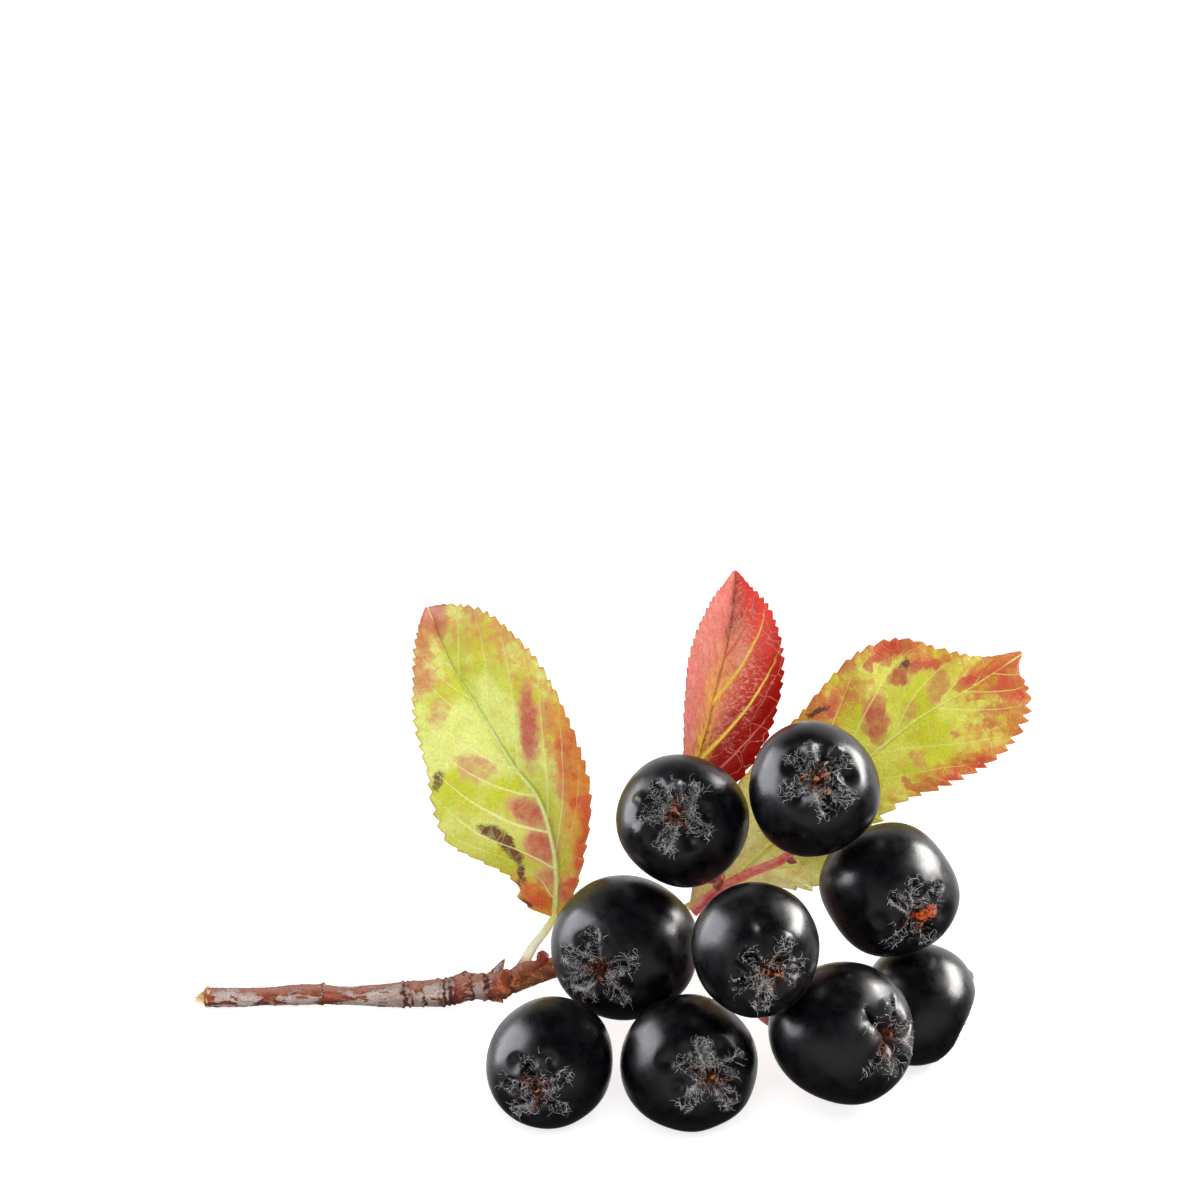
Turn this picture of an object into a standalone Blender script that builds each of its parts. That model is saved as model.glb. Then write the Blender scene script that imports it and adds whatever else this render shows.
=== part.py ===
"""A chokeberry sprig lying on a surface: nine ripe berries on red stalks, three leaves and a cut twig.

Lengths are in millimetres until MM turns them into Blender's metres. Places are in the sprig's face
frame, (across, up, towards the viewer). The empty "sprig" leans that frame back over the surface, which
is the plane z = 0, and puts the middle of the whole sprig's box over the origin.
"""

import math

import bmesh
import bpy
import numpy as np
from mathutils import Matrix, Vector

MM = 0.001
LEAN = 28.0            # degrees that the face frame leans back from upright
FRAME_HEIGHT = 19.5    # height of the face frame's origin above the surface
GAP = 0.3              # clearance between neighbouring pieces
SEAT = 0.2             # height of the cap cut off a resting berry, which leaves a small flat spot
CURVE_SAMPLES = 400

# The berries: centre, radius, direction the calyx faces, and turns of its five clefts in degrees,
# counted from the berry's own right-hand side.
BERRIES = {
    "berry_1": ((-1.8, 8.0, 0.0), 6.6, (-0.13, 0.16, 0.98), (51, 128, 183, 249, 330)),
    "berry_2": ((11.2, 11.2, 3.2), 6.55, (0.06, 0.21, 0.98), (39, 135, 200, 279, 327)),
    "berry_3": ((19.1, 0.9, -2.4), 6.9, (0.43, -0.41, 0.80), (57, 108, 145, 235, 311)),
    "berry_4": ((-7.8, -5.0, -2.8), 7.1, (-0.38, -0.31, 0.87), (14, 98, 152, 209, 302)),
    "berry_5": ((5.3, -4.3, 9.3), 6.3, (0.22, -0.38, 0.90), (6, 65, 137, 205, 261)),
    "berry_6": ((-15.1, -16.2, 2.1), 6.4, (-0.21, -0.41, 0.89), (29, 105, 166, 221, 318)),
    "berry_7": ((-1.1, -16.0, 3.0), 6.75, (0.34, -0.17, 0.92), (33, 106, 152, 231, 313)),
    "berry_8": ((13.9, -13.0, 2.9), 7.0, (0.75, -0.02, 0.66), (21, 106, 180, 249, 339)),
    "berry_9": ((22.3, -11.1, -7.6), 6.3, (0.89, -0.46, -0.10), (18, 90, 162, 234, 306)),
}
RESTING = ("berry_6", "berry_7", "berry_9")
LENGTH_RATIO = 0.94    # a berry's half length over its radius
CALYX_ANGLE = 40.0     # the calyx reaches this many degrees from the berry's tip
CLEFT_DEPTH = 0.9
CLEFT_WIDTH = 0.55
CLEFT_FADE = 0.45      # outer share of the calyx over which a cleft runs out
LOBE_RISE = 0.35
LOBE_PLACE = 0.55      # share of the way across the calyx at which a lobe is highest
LOBE_SPREAD = 0.28
PIT_DEPTH = 0.9
PIT_ANGLE = 9.0
STYLE_RISE = 0.5       # the dried flower parts stand this high in the pit
STEM_DIMPLE = 0.5
STEM_ANGLE = 14.0
BERRY_RINGS = (6, 12, 18, 25, 33, 41, 57, 75, 93, 112, 134, 158)
LOBE_COLUMNS = (0.0, 0.12, 0.37, 0.63, 0.88)    # columns of a lobe, as shares of the way to the next cleft

# The twig's axis with its radius at each point, from the cut end to the foot of the fruit stalks.
TWIG = (
    ((-50.9, -11.2, -18.3), 1.00),
    ((-44.0, -11.0, -17.7), 0.93),
    ((-40.0, -10.8, -17.4), 1.06),
    ((-36.1, -10.9, -17.1), 0.93),
    ((-31.3, -10.8, -16.8), 1.22),
    ((-27.8, -10.6, -16.5), 1.35),
    ((-25.4, -10.4, -16.4), 1.40),
    ((-23.9, -9.9, -16.3), 1.45),
    ((-22.5, -9.9, -16.2), 1.33),
    ((-20.6, -9.8, -16.0), 1.55),
    ((-19.3, -9.4, -15.8), 1.30),
    ((-16.6, -8.5, -15.4), 1.10),
    ((-12.5, -7.1, -14.9), 1.05),
    ((-7.7, -5.2, -14.4), 0.95),
    ((-0.9, -2.4, -13.9), 0.60),
)
TWIG_SIDES = 10
TWIG_STEPS = 52
# Cones fused to the twig, as foot, tip and foot radius: the frayed wood of the cut, the bud scale, the
# knob, the spur, the bark flake and the side stub.
TWIG_CONES = (
    ((-49.9, -11.2, -18.1), (-52.5, -11.0, -18.3), 0.80),
    ((-38.9, -10.6, -17.2), (-38.5, -9.5, -16.8), 0.50),
    ((-24.0, -9.8, -16.3), (-23.9, -8.2, -15.8), 0.70),
    ((-21.0, -8.9, -15.9), (-19.8, -7.0, -15.3), 0.45),
    ((-21.1, -10.4, -15.8), (-20.0, -11.5, -15.0), 0.50),
    ((-16.1, -7.9, -15.2), (-15.8, -5.9, -14.1), 0.55),
)

# The fruit stalks: the main stalk and the lower branch, each with its radius along the way.
STALK_MAIN = (
    ((-0.4, -2.1, -13.8), 0.55),
    ((2.2, 0.2, -13.2), 0.54),
    ((4.9, 1.8, -12.4), 0.47),
    ((9.0, 3.7, -11.0), 0.46),
    ((10.6, 5.8, -9.6), 0.44),
    ((11.0, 7.4, -8.0), 0.42),
)
STALK_LOWER = (
    ((1.4, -0.6, -13.4), 0.50),
    ((2.2, -4.2, -12.2), 0.50),
    ((3.2, -7.6, -10.0), 0.47),
    ((3.4, -9.8, -7.8), 0.42),
)
# Cones fused to the fruit stalks: the small leaf scale at the node and a broken stalklet.
STALK_CONES = (
    ((2.0, 0.5, -12.9), (2.6, 1.4, -12.2), 0.40),
    ((9.3, 3.5, -10.9), (10.1, 3.2, -10.3), 0.35),
)
# Each pedicel: its berry, the point it grows from and the way it sets out.
PEDICELS = (
    ("berry_1", (2.2, 0.3, -13.1), (0.3, 4.0, 1.0)),
    ("berry_2", (10.9, 7.0, -8.5), (0.2, 3.0, 3.0)),
    ("berry_3", (10.7, 6.3, -9.2), (4.5, 0.8, -0.8)),
    ("berry_4", (2.1, -4.4, -12.1), (-5.0, 0.2, 0.4)),
    ("berry_5", (3.0, -6.6, -10.6), (0.8, 1.8, 4.0)),
    ("berry_6", (2.2, -5.0, -11.9), (-6.0, -0.5, -0.2)),
    ("berry_7", (3.4, -9.5, -8.1), (-3.0, -2.6, 1.4)),
    ("berry_8", (3.3, -9.3, -8.4), (3.5, -2.4, 1.5)),
    ("berry_9", (3.1, -7.4, -10.2), (6.0, -3.2, -0.3)),
)
PEDICEL_RADIUS = 0.42
PEDICEL_FLARE = 0.62   # radius where the pedicel meets its berry
PEDICEL_STEPS = 8
STALK_STEPS = 9
STALK_SIDES = 8
CONE_SIDES = 6

# The leaves. Each edge and midrib is a curve through a few points from the blade's foot to its tip.
# "stalk" runs from the twig to the foot. Lead is how far towards the tip a side vein runs on its way out.
LEAVES = {
    "leaf_left": {
        "stalk": ((-17.5, -6.6, -15.3), (-16.7, -5.5, -15.2), (-15.6, -4.2, -15.3)),
        "midrib": ((-14.7, -2.7, -15.5), (-14.6, 3.0, -15.3), (-16.3, 9.4, -15.4), (-18.8, 12.7, -15.6),
                   (-22.4, 18.6, -15.8), (-25.1, 22.9, -16.2), (-26.8, 26.8, -16.8), (-27.8, 29.2, -17.5)),
        "left": ((-15.1, -2.6, -15.5), (-17.8, -0.8, -15.0), (-22.0, 2.8, -14.3), (-25.6, 4.9, -13.6),
                 (-27.0, 7.8, -13.2), (-28.1, 13.0, -13.0), (-29.3, 18.4, -13.2), (-29.3, 23.4, -14.2),
                 (-28.9, 27.0, -15.8), (-28.1, 29.2, -17.5)),
        "right": ((-14.3, -2.6, -15.5), (-12.7, -0.3, -14.8), (-11.5, 4.0, -14.2), (-10.8, 9.8, -13.6),
                  (-12.2, 15.4, -13.2), (-14.6, 21.0, -13.1), (-17.6, 25.4, -13.6), (-21.6, 28.8, -14.8),
                  (-25.2, 29.7, -16.3), (-27.6, 29.3, -17.5)),
        "teeth": 29, "tooth": 0.38, "pairs": 7, "lead": 0.10, "crown": 0.9, "ripple": 0.20,
    },
    "leaf_middle": {
        "stalk": ((2.0, 1.2, -14.2), (1.3, 3.5, -13.6), (0.0, 6.1, -12.7)),
        "midrib": ((-1.0, 8.0, -12.0), (0.0, 14.1, -13.0), (1.0, 17.6, -13.5), (1.8, 20.7, -14.0),
                   (3.0, 25.1, -14.3), (3.7, 29.2, -14.4), (3.9, 33.0, -14.6)),
        "left": ((-1.3, 8.1, -12.0), (-1.6, 11.0, -11.4), (-1.5, 15.5, -10.8), (-1.4, 19.5, -10.5),
                 (-1.1, 23.2, -10.7), (-0.2, 26.8, -11.4), (1.4, 30.0, -12.6), (3.7, 33.0, -14.6)),
        "right": ((-0.7, 7.9, -12.0), (2.2, 9.6, -10.5), (5.0, 12.4, -9.8), (7.4, 16.6, -9.6),
                  (8.6, 20.8, -10.0), (8.7, 25.2, -10.7), (7.6, 29.0, -11.8), (5.4, 31.6, -13.2),
                  (4.1, 33.0, -14.6)),
        "teeth": 25, "tooth": 0.32, "pairs": 6, "lead": 0.12, "crown": 0.5, "ripple": 0.15,
    },
    "leaf_right": {
        "stalk": ((-2.6, -3.0, -15.4), (-1.9, -2.4, -16.0), (-1.1, -1.8, -16.4)),
        "midrib": ((-0.4, -1.4, -16.6), (2.5, 0.7, -17.1), (5.7, 3.2, -17.6), (12.3, 9.3, -18.8),
                   (18.3, 14.0, -19.4), (23.2, 17.8, -19.6), (28.4, 20.8, -19.8), (34.0, 24.4, -21.0)),
        "left": ((-0.7, -1.1, -16.6), (-0.1, 2.6, -16.3), (2.0, 8.4, -16.0), (6.2, 13.6, -16.2),
                 (10.3, 17.9, -16.4), (13.4, 21.7, -16.6), (17.0, 24.9, -17.0), (21.3, 26.2, -17.6),
                 (25.5, 25.0, -18.4), (29.8, 24.2, -19.8), (33.8, 24.7, -21.0)),
        "right": ((-0.1, -1.7, -16.6), (3.2, -1.8, -16.5), (6.2, -0.6, -16.8), (9.2, 0.1, -17.0),
                  (12.6, 0.0, -17.1), (16.4, 3.6, -17.2), (20.4, 8.2, -17.4), (26.6, 11.0, -17.8),
                  (31.6, 13.6, -18.3), (34.4, 17.8, -18.9), (34.7, 20.9, -19.8), (33.9, 23.9, -20.9)),
        "teeth": 30, "tooth": 0.42, "pairs": 8, "lead": 0.08, "crown": 1.0, "ripple": 0.26,
    },
}
BLADE_THICKNESS = 0.62
STALK_RADIUS = 0.55
STALK_LOOPS = 8
BLADE_COLUMNS = (1.0, 0.6, 0.0)    # places across each half of a blade, edge to midrib
TEETH_SPAN = (0.03, 0.985)         # shares of the blade's length between which it is toothed
TOOTH_POINT = 0.68                 # share of its pitch at which a tooth has its point
FULL_BULGE_WIDTH = 6.0             # half width at which a blade bulges fully

COLOURS = {
    "berry": ((0.009, 0.006, 0.009), 0.22),
    "twig": ((0.30, 0.20, 0.13), 0.75),
    "fruit_stalks": ((0.42, 0.10, 0.06), 0.50),
    "leaf_left": ((0.46, 0.44, 0.06), 0.50),
    "leaf_middle": ((0.50, 0.07, 0.04), 0.45),
    "leaf_right": ((0.52, 0.40, 0.06), 0.50),
}


def clear_scene():
    for old in list(bpy.data.objects):
        bpy.data.objects.remove(old, do_unlink=True)


def make_material(name):
    colour, roughness = COLOURS[name]
    material = bpy.data.materials.new(name)
    material.use_nodes = True
    shader = material.node_tree.nodes["Principled BSDF"]
    shader.inputs["Base Color"].default_value = (*colour, 1.0)
    shader.inputs["Roughness"].default_value = roughness
    shader.inputs["Metallic"].default_value = 0.0
    material.diffuse_color = (*colour, 1.0)
    return material


def make_sprig_frame():
    """The empty that leans the face frame back: its up axis points up and away from the viewer."""
    sprig = bpy.data.objects.new("sprig", None)
    bpy.context.collection.objects.link(sprig)
    sprig.rotation_euler = (math.radians(90.0 - LEAN), 0.0, 0.0)
    sprig.location = (0.0, 0.0, FRAME_HEIGHT * MM)
    bpy.context.view_layer.update()
    return sprig


def add_object(name, material, mesh, sprig, place, turn=None):
    """Link a mesh as an object that stands at a place, in millimetres, of the face frame."""
    item = bpy.data.objects.new(name, mesh)
    bpy.context.collection.objects.link(item)
    mesh.materials.append(material)
    item.parent = sprig
    item.location = Vector(place) * MM
    if turn is not None:
        item.rotation_euler = turn.to_euler()
    mesh.shade_smooth()
    mesh.set_sharp_from_angle(angle=math.radians(50.0))
    bpy.context.view_layer.update()
    return item


def mesh_of(name, points, faces):
    mesh = bpy.data.meshes.new(name)
    mesh.from_pydata([Vector(p) * MM for p in points], [], faces)
    mesh.update()
    return mesh


def smooth_curve(points, shares):
    """Points of a centripetal curve through the given points, at shares of its length from 0 to 1."""
    pts = np.array(points, dtype=float)
    knots = np.concatenate(([0.0], np.cumsum(np.sqrt(np.linalg.norm(np.diff(pts, axis=0), axis=1)))))
    slopes = np.gradient(pts, knots, axis=0)
    fine = np.linspace(0.0, knots[-1], CURVE_SAMPLES)
    curve = hermite(pts, slopes, knots, fine)
    steps = np.linalg.norm(np.diff(curve, axis=0), axis=1)
    travel = np.concatenate(([0.0], np.cumsum(steps))) / steps.sum()
    return np.stack([np.interp(shares, travel, curve[:, k]) for k in range(pts.shape[1])], axis=1)


def hermite(pts, slopes, knots, at):
    """Cubic pieces between the knots, with the given slopes."""
    left = np.clip(np.searchsorted(knots, at, side="right") - 1, 0, len(knots) - 2)
    span = (knots[left + 1] - knots[left])[:, None]
    t = (at - knots[left])[:, None] / span
    start = pts[left] * (2 * t**3 - 3 * t**2 + 1) + slopes[left] * span * (t**3 - 2 * t**2 + t)
    end = pts[left + 1] * (3 * t**2 - 2 * t**3) + slopes[left + 1] * span * (t**3 - t**2)
    return start + end


def unit(vectors):
    vectors = np.asarray(vectors, dtype=float)
    return vectors / np.linalg.norm(vectors, axis=-1, keepdims=True)


def berry_turn(facing):
    """The rotation whose z axis is the calyx direction and whose y axis is as near to up as it can be."""
    z = Vector(facing).normalized()
    y = (Vector((0.0, 1.0, 0.0)) - z * z.y).normalized()
    x = y.cross(z)
    return Matrix((x, y, z)).transposed()


def berry_half_height(radius, facing):
    """Half the height of the leaning, slightly flattened berry above the surface."""
    lean = math.radians(LEAN)
    z = Vector(facing).normalized()
    rise = z.y * math.cos(lean) + z.z * math.sin(lean)
    return radius * math.sqrt(1.0 - (1.0 - LENGTH_RATIO**2) * rise**2)


def berry_centre(name):
    """A berry's centre. A resting one is slid towards or away from the viewer until it is seated."""
    centre, radius, facing, _ = BERRIES[name]
    if name not in RESTING:
        return Vector(centre)
    lean = math.radians(LEAN)
    height = berry_half_height(radius, facing) - SEAT - FRAME_HEIGHT
    towards = (height - centre[1] * math.cos(lean)) / math.sin(lean)
    return Vector((centre[0], centre[1], towards))


def cleft_columns(clefts, even_share):
    """Turns of all columns round a berry: set by the clefts at the calyx, evenly spread further down."""
    turns = []
    for k, start in enumerate(clefts):
        end = clefts[(k + 1) % len(clefts)] + (360 if k == len(clefts) - 1 else 0)
        for j, share in enumerate(LOBE_COLUMNS):
            even = clefts[0] + 72.0 * (k + j / len(LOBE_COLUMNS))
            turns.append((start + (end - start) * share) * (1 - even_share) + even * even_share)
    return np.radians(turns)


def smooth_step(x):
    x = np.clip(x, 0.0, 1.0)
    return x * x * (3.0 - 2.0 * x)


def berry_point(radius, clefts, theta, phi):
    """The berry's surface at theta from its calyx tip and turn phi, both in radians."""
    turns = np.radians(clefts)
    apart = (phi - turns + math.pi) % (2 * math.pi) - math.pi
    after = np.sort((phi - turns) % (2 * math.pi))[0]
    before = np.sort((turns - phi) % (2 * math.pi))[0]
    lobe_share = after / max(after + before, 1e-6)
    reach = theta / math.radians(CALYX_ANGLE)
    sideways = radius * math.sin(theta) * np.min(np.abs(apart))
    cleft = CLEFT_DEPTH * math.exp(-(sideways / CLEFT_WIDTH) ** 2) * smooth_step((1.0 - reach) / CLEFT_FADE)
    lobe = LOBE_RISE * math.sin(math.pi * lobe_share) ** 2
    lobe *= math.exp(-((reach - LOBE_PLACE) / LOBE_SPREAD) ** 2)
    pit = PIT_DEPTH * math.exp(-(theta / math.radians(PIT_ANGLE)) ** 2)
    stem = STEM_DIMPLE * math.exp(-((math.pi - theta) / math.radians(STEM_ANGLE)) ** 2)
    out = radius - cleft + lobe - pit - stem
    across = out * math.sin(theta)
    return (across * math.cos(phi), across * math.sin(phi), out * math.cos(theta) * LENGTH_RATIO)


def build_berry(name, sprig, material):
    _, radius, facing, clefts = BERRIES[name]
    columns = len(clefts) * len(LOBE_COLUMNS)
    points = [(0.0, 0.0, (radius - PIT_DEPTH + STYLE_RISE) * LENGTH_RATIO)]
    for ring in BERRY_RINGS:
        even_share = float(smooth_step((ring - CALYX_ANGLE) / 40.0))
        for phi in cleft_columns(clefts, even_share):
            points.append(berry_point(radius, clefts, math.radians(ring), phi))
    points.append((0.0, 0.0, -(radius - STEM_DIMPLE) * LENGTH_RATIO))
    faces = tube_faces(len(BERRY_RINGS), columns, 1)
    for k in range(columns):
        after = (k + 1) % columns
        last = len(points) - 1
        faces.append((0, 1 + k, 1 + after))
        faces.append((last, last - columns + after, last - columns + k))
    berry = add_object(name, material, mesh_of(name, points, faces), sprig, berry_centre(name),
                       berry_turn(facing))
    if name in RESTING:
        cut_seat(berry)
    return berry


def tube_faces(rings, sides, first):
    """Quads between rings of points, for rings whose points turn left when seen from the first ring."""
    faces = []
    for ring in range(rings - 1):
        low = first + ring * sides
        for k in range(sides):
            after = (k + 1) % sides
            faces.append((low + k, low + sides + k, low + sides + after, low + after))
    return faces


def cut_seat(berry):
    """Cut off what lies below the surface, so that the berry rests on a small flat spot."""
    to_local = berry.matrix_world.inverted()
    seat = to_local @ Vector((0.0, 0.0, 0.0))
    down = (berry.matrix_world.to_3x3().transposed() @ Vector((0.0, 0.0, -1.0))).normalized()
    work = bmesh.new()
    work.from_mesh(berry.data)
    everything = work.verts[:] + work.edges[:] + work.faces[:]
    cut = bmesh.ops.bisect_plane(work, geom=everything, plane_co=seat, plane_no=down, clear_outer=True)
    rim = [item for item in cut["geom_cut"] if isinstance(item, bmesh.types.BMEdge)]
    bmesh.ops.contextual_create(work, geom=rim)
    bmesh.ops.recalc_face_normals(work, faces=work.faces[:])
    work.to_mesh(berry.data)
    work.free()


def swept_tube(axis, radii, sides):
    """Points and faces of a closed tube along an axis, with a round section at each of its points."""
    axis = np.asarray(axis, dtype=float)
    tangents = unit(np.gradient(axis, axis=0))
    guide = np.array((0.0, 0.0, 1.0)) if abs(tangents[0][2]) < 0.8 else np.array((0.0, 1.0, 0.0))
    side = unit(np.cross(guide, tangents[0]))
    turns = np.linspace(0.0, 2 * math.pi, sides, endpoint=False)
    points = []
    for centre, tangent, radius in zip(axis, tangents, radii):
        side = unit(side - tangent * np.dot(side, tangent))
        other = np.cross(tangent, side)
        for turn in turns:
            points.append(centre + radius * (math.cos(turn) * side + math.sin(turn) * other))
    faces = [tuple(reversed(face)) for face in tube_faces(len(axis), sides, 0)]
    faces.append(tuple(reversed(range(sides))))
    faces.append(tuple(range(len(points) - sides, len(points))))
    return points, faces


def join_tubes(name, tubes, sprig, material, place):
    """One solid from several overlapping closed tubes, by one Boolean union."""
    base = add_object(name, material, local_mesh(name, tubes[0], place), sprig, place)
    others = bpy.data.collections.new(name + "_branches")
    bpy.context.scene.collection.children.link(others)
    for k, tube in enumerate(tubes[1:]):
        mesh = local_mesh(f"{name}_branch_{k}", tube, place)
        branch = bpy.data.objects.new(mesh.name, mesh)
        others.objects.link(branch)
        branch.parent = sprig
        branch.location = base.location
    bpy.context.view_layer.update()
    union = base.modifiers.new("union", "BOOLEAN")
    union.operation = "UNION"
    union.operand_type = "COLLECTION"
    union.collection = others
    union.solver = "EXACT"
    bpy.context.view_layer.objects.active = base
    bpy.ops.object.modifier_apply(modifier=union.name)
    for branch in list(others.objects):
        bpy.data.objects.remove(branch, do_unlink=True)
    bpy.data.collections.remove(others)
    return base


def local_mesh(name, tube, place):
    points, faces = tube
    return mesh_of(name, np.asarray(points) - np.asarray(place), faces)


def build_twig(sprig, material):
    shares = np.linspace(0.0, 1.0, TWIG_STEPS)
    route = smooth_curve([(*point, radius) for point, radius in TWIG], shares)
    axis = route[:, :3]
    tubes = [swept_tube(axis, route[:, 3], TWIG_SIDES)]
    tubes += [cone_tube(*cone) for cone in TWIG_CONES]
    return join_tubes("twig", tubes, sprig, material, TWIG[0][0])


def cone_tube(foot, tip, radius):
    """A blunt, slightly bulging cone."""
    middle = (np.array(foot) + np.array(tip)) / 2
    return swept_tube((foot, middle, tip), (radius, radius * 0.75, 0.12), CONE_SIDES)


def pedicel_tube(berry, root, setting_out):
    """A bowed tube from the root to just short of the dimple at the berry's stalk end."""
    _, radius, facing, _ = BERRIES[berry]
    axis = np.array(Vector(facing).normalized())
    end = np.array(berry_centre(berry)) - axis * ((radius - STEM_DIMPLE) * LENGTH_RATIO + GAP)
    root = np.array(root)
    pull = 0.45 * np.linalg.norm(end - root)
    first = root + unit(setting_out) * pull
    second = end - axis * pull
    t = np.linspace(0.0, 1.0, PEDICEL_STEPS)[:, None]
    curve = root * (1 - t)**3 + first * 3 * t * (1 - t)**2 + second * 3 * t**2 * (1 - t) + end * t**3
    radii = np.full(PEDICEL_STEPS, PEDICEL_RADIUS)
    radii[-1] = PEDICEL_FLARE
    radii[-2] = (PEDICEL_RADIUS + PEDICEL_FLARE) / 2
    return swept_tube(curve, radii, STALK_SIDES)


def build_stalks(sprig, material):
    shares = np.linspace(0.0, 1.0, STALK_STEPS)
    tubes = []
    for route in (STALK_MAIN, STALK_LOWER):
        curve = smooth_curve([(*point, radius) for point, radius in route], shares)
        tubes.append(swept_tube(curve[:, :3], curve[:, 3], STALK_SIDES))
    for berry, root, setting_out in PEDICELS:
        tubes.append(pedicel_tube(berry, root, setting_out))
    tubes += [cone_tube(*cone) for cone in STALK_CONES]
    return join_tubes("fruit_stalks", tubes, sprig, material, STALK_MAIN[0][0])


def blade_stations(teeth):
    """Shares along the blade with two for each tooth, its notch and its point, and the tooth's height."""
    first, last = TEETH_SPAN
    pitch = (last - first) / teeth
    shares = [0.0]
    heights = [0.0]
    for k in range(teeth):
        shares += [first + k * pitch, first + (k + TOOTH_POINT) * pitch]
        heights += [0.0, 1.0]
    shares += [(1.0 + last) / 2, 1.0]
    heights += [0.0, 0.0]
    return np.array(shares), np.array(heights)


def blade_surface(leaf, shares, across, tooth_heights):
    """The blade's middle surface: a row of points for each share, a column for each place across."""
    lead = shares + leaf["lead"] * np.sin(math.pi * shares)
    midrib = smooth_curve(leaf["midrib"], shares)
    rows = np.zeros((len(shares), len(across), 3))
    for column, place in enumerate(across):
        edge = smooth_curve(leaf["left" if place < 0 else "right"], lead)
        out = edge - midrib
        width = np.linalg.norm(out, axis=1, keepdims=True)
        cut = leaf["tooth"] * (1.0 - tooth_heights)[:, None] * (abs(place) == 1.0)
        cut = cut * np.clip(width / 4.0 - 0.15, 0.0, 1.0)
        rows[:, column] = midrib + out * abs(place) - out / width * cut
        rows[:, column, 2] += blade_relief(leaf, shares, place, width[:, 0])
    return rows


def blade_relief(leaf, shares, place, width):
    """How far the blade bulges to the viewer between midrib, edge and side veins."""
    fullness = np.minimum(1.0, width / FULL_BULGE_WIDTH)
    bow = leaf["crown"] * math.sin(math.pi * abs(place)) * fullness
    ripple = leaf["ripple"] * abs(place) * np.cos(2 * math.pi * leaf["pairs"] * shares) * fullness
    return bow - ripple


def build_leaf(name, sprig, material):
    """A toothed blade on a round stalk, made as one row of closed loops from the stalk's foot to the tip."""
    leaf = LEAVES[name]
    shares, heights = blade_stations(leaf["teeth"])
    across = [-place for place in BLADE_COLUMNS] + [place for place in reversed(BLADE_COLUMNS[:-1])]
    middle = blade_surface(leaf, shares, across, heights)
    normals = blade_normals(blade_surface(leaf, shares, across, np.ones_like(heights)))
    front = middle + normals * BLADE_THICKNESS / 2
    back = middle - normals * BLADE_THICKNESS / 2
    loops = np.concatenate((front, back[:, ::-1]), axis=1)
    stalk = stalk_loops(leaf, loops[0], normals[0].mean(axis=0))
    loops = np.concatenate((stalk, loops))
    sides = loops.shape[1]
    points = loops.reshape(-1, 3)
    faces = leaf_faces(len(loops), len(stalk), sides)
    place = leaf["stalk"][0]
    return add_object(name, material, mesh_of(name, points - np.array(place), faces), sprig, place)


def blade_normals(surface):
    """Directions square to the blade on the viewer's side. Where it is narrow a whole row shares one."""
    normals = unit(np.cross(np.gradient(surface, axis=1), np.gradient(surface, axis=0)))
    width = np.linalg.norm(surface[:, -1] - surface[:, 0], axis=1)[:, None, None]
    own = smooth_step((width - 1.5) / 3.0)
    shared = unit(normals.mean(axis=1, keepdims=True))
    return unit(normals * own + shared * (1.0 - own))


def stalk_loops(leaf, first_loop, normal):
    """Round loops along the leaf's stalk that take on the blade's flat section just before its foot."""
    shares = np.linspace(0.0, 1.0, STALK_LOOPS + 1)[:-1]
    foot = first_loop.mean(axis=0)
    curve = smooth_curve((*leaf["stalk"], foot), shares)
    tangents = unit(np.gradient(np.vstack((curve, foot)), axis=0))[:-1]
    half = first_loop.shape[0] // 2
    front = np.linspace(math.pi, 0.0, half + 2)[1:-1]
    angles = np.concatenate((front, front - math.pi))
    loops = []
    for share, centre, tangent in zip(shares, curve, tangents):
        upward = unit(normal - tangent * np.dot(normal, tangent))
        right = np.cross(tangent, upward)
        ring = centre + STALK_RADIUS * (np.outer(np.cos(angles), right) + np.outer(np.sin(angles), upward))
        blend = smooth_step((share - 0.6) / 0.5)
        loops.append(ring * (1 - blend) + (first_loop - foot + centre) * blend)
    return np.array(loops)


def leaf_faces(rows, stalk_rows, sides):
    """Triangles between the loops, split alike on the blade's two faces, and the two end caps."""
    half = sides // 2
    faces = []
    for row in range(rows - 1):
        low = row * sides
        high = low + sides
        for k in range(sides):
            after = (k + 1) % sides
            if k < half:
                faces.append((low + k, high + after, high + k))
                faces.append((low + k, low + after, high + after))
            else:
                faces.append((low + k, low + after, high + k))
                faces.append((low + after, high + after, high + k))
    faces.append(tuple(range(sides - 1, -1, -1)))
    faces += tip_cap((rows - 1) * sides, sides)
    return faces


def tip_cap(first, sides):
    """The narrow strip that closes the blade's tip, from pairs of front and back points."""
    half = sides // 2
    faces = []
    for k in range(half - 1):
        front = first + k
        back = first + sides - 1 - k
        faces.append((front, front + 1, back - 1, back))
    return faces


def centre_on_origin(sprig, pieces):
    """Slide the sprig along the surface until the middle of its box is over the origin."""
    corners = np.array([item.matrix_world @ v.co for item in pieces for v in item.data.vertices])
    middle = (corners.min(axis=0) + corners.max(axis=0)) / 2
    sprig.location.x -= middle[0]
    sprig.location.y -= middle[1]
    bpy.context.view_layer.update()


def main():
    clear_scene()
    sprig = make_sprig_frame()
    berry_skin = make_material("berry")
    pieces = [build_berry(name, sprig, berry_skin) for name in BERRIES]
    pieces.append(build_twig(sprig, make_material("twig")))
    pieces.append(build_stalks(sprig, make_material("fruit_stalks")))
    for name in LEAVES:
        pieces.append(build_leaf(name, sprig, make_material(name)))
    centre_on_origin(sprig, pieces)


main()
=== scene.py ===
"""The looks of the chokeberry sprig: fine skins, wool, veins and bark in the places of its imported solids.

Lengths are in millimetres until MM turns them into Blender's metres. Places are in the sprig's face
frame, (across, up, towards the viewer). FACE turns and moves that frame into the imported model's.
"""

import math
from types import SimpleNamespace

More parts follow.
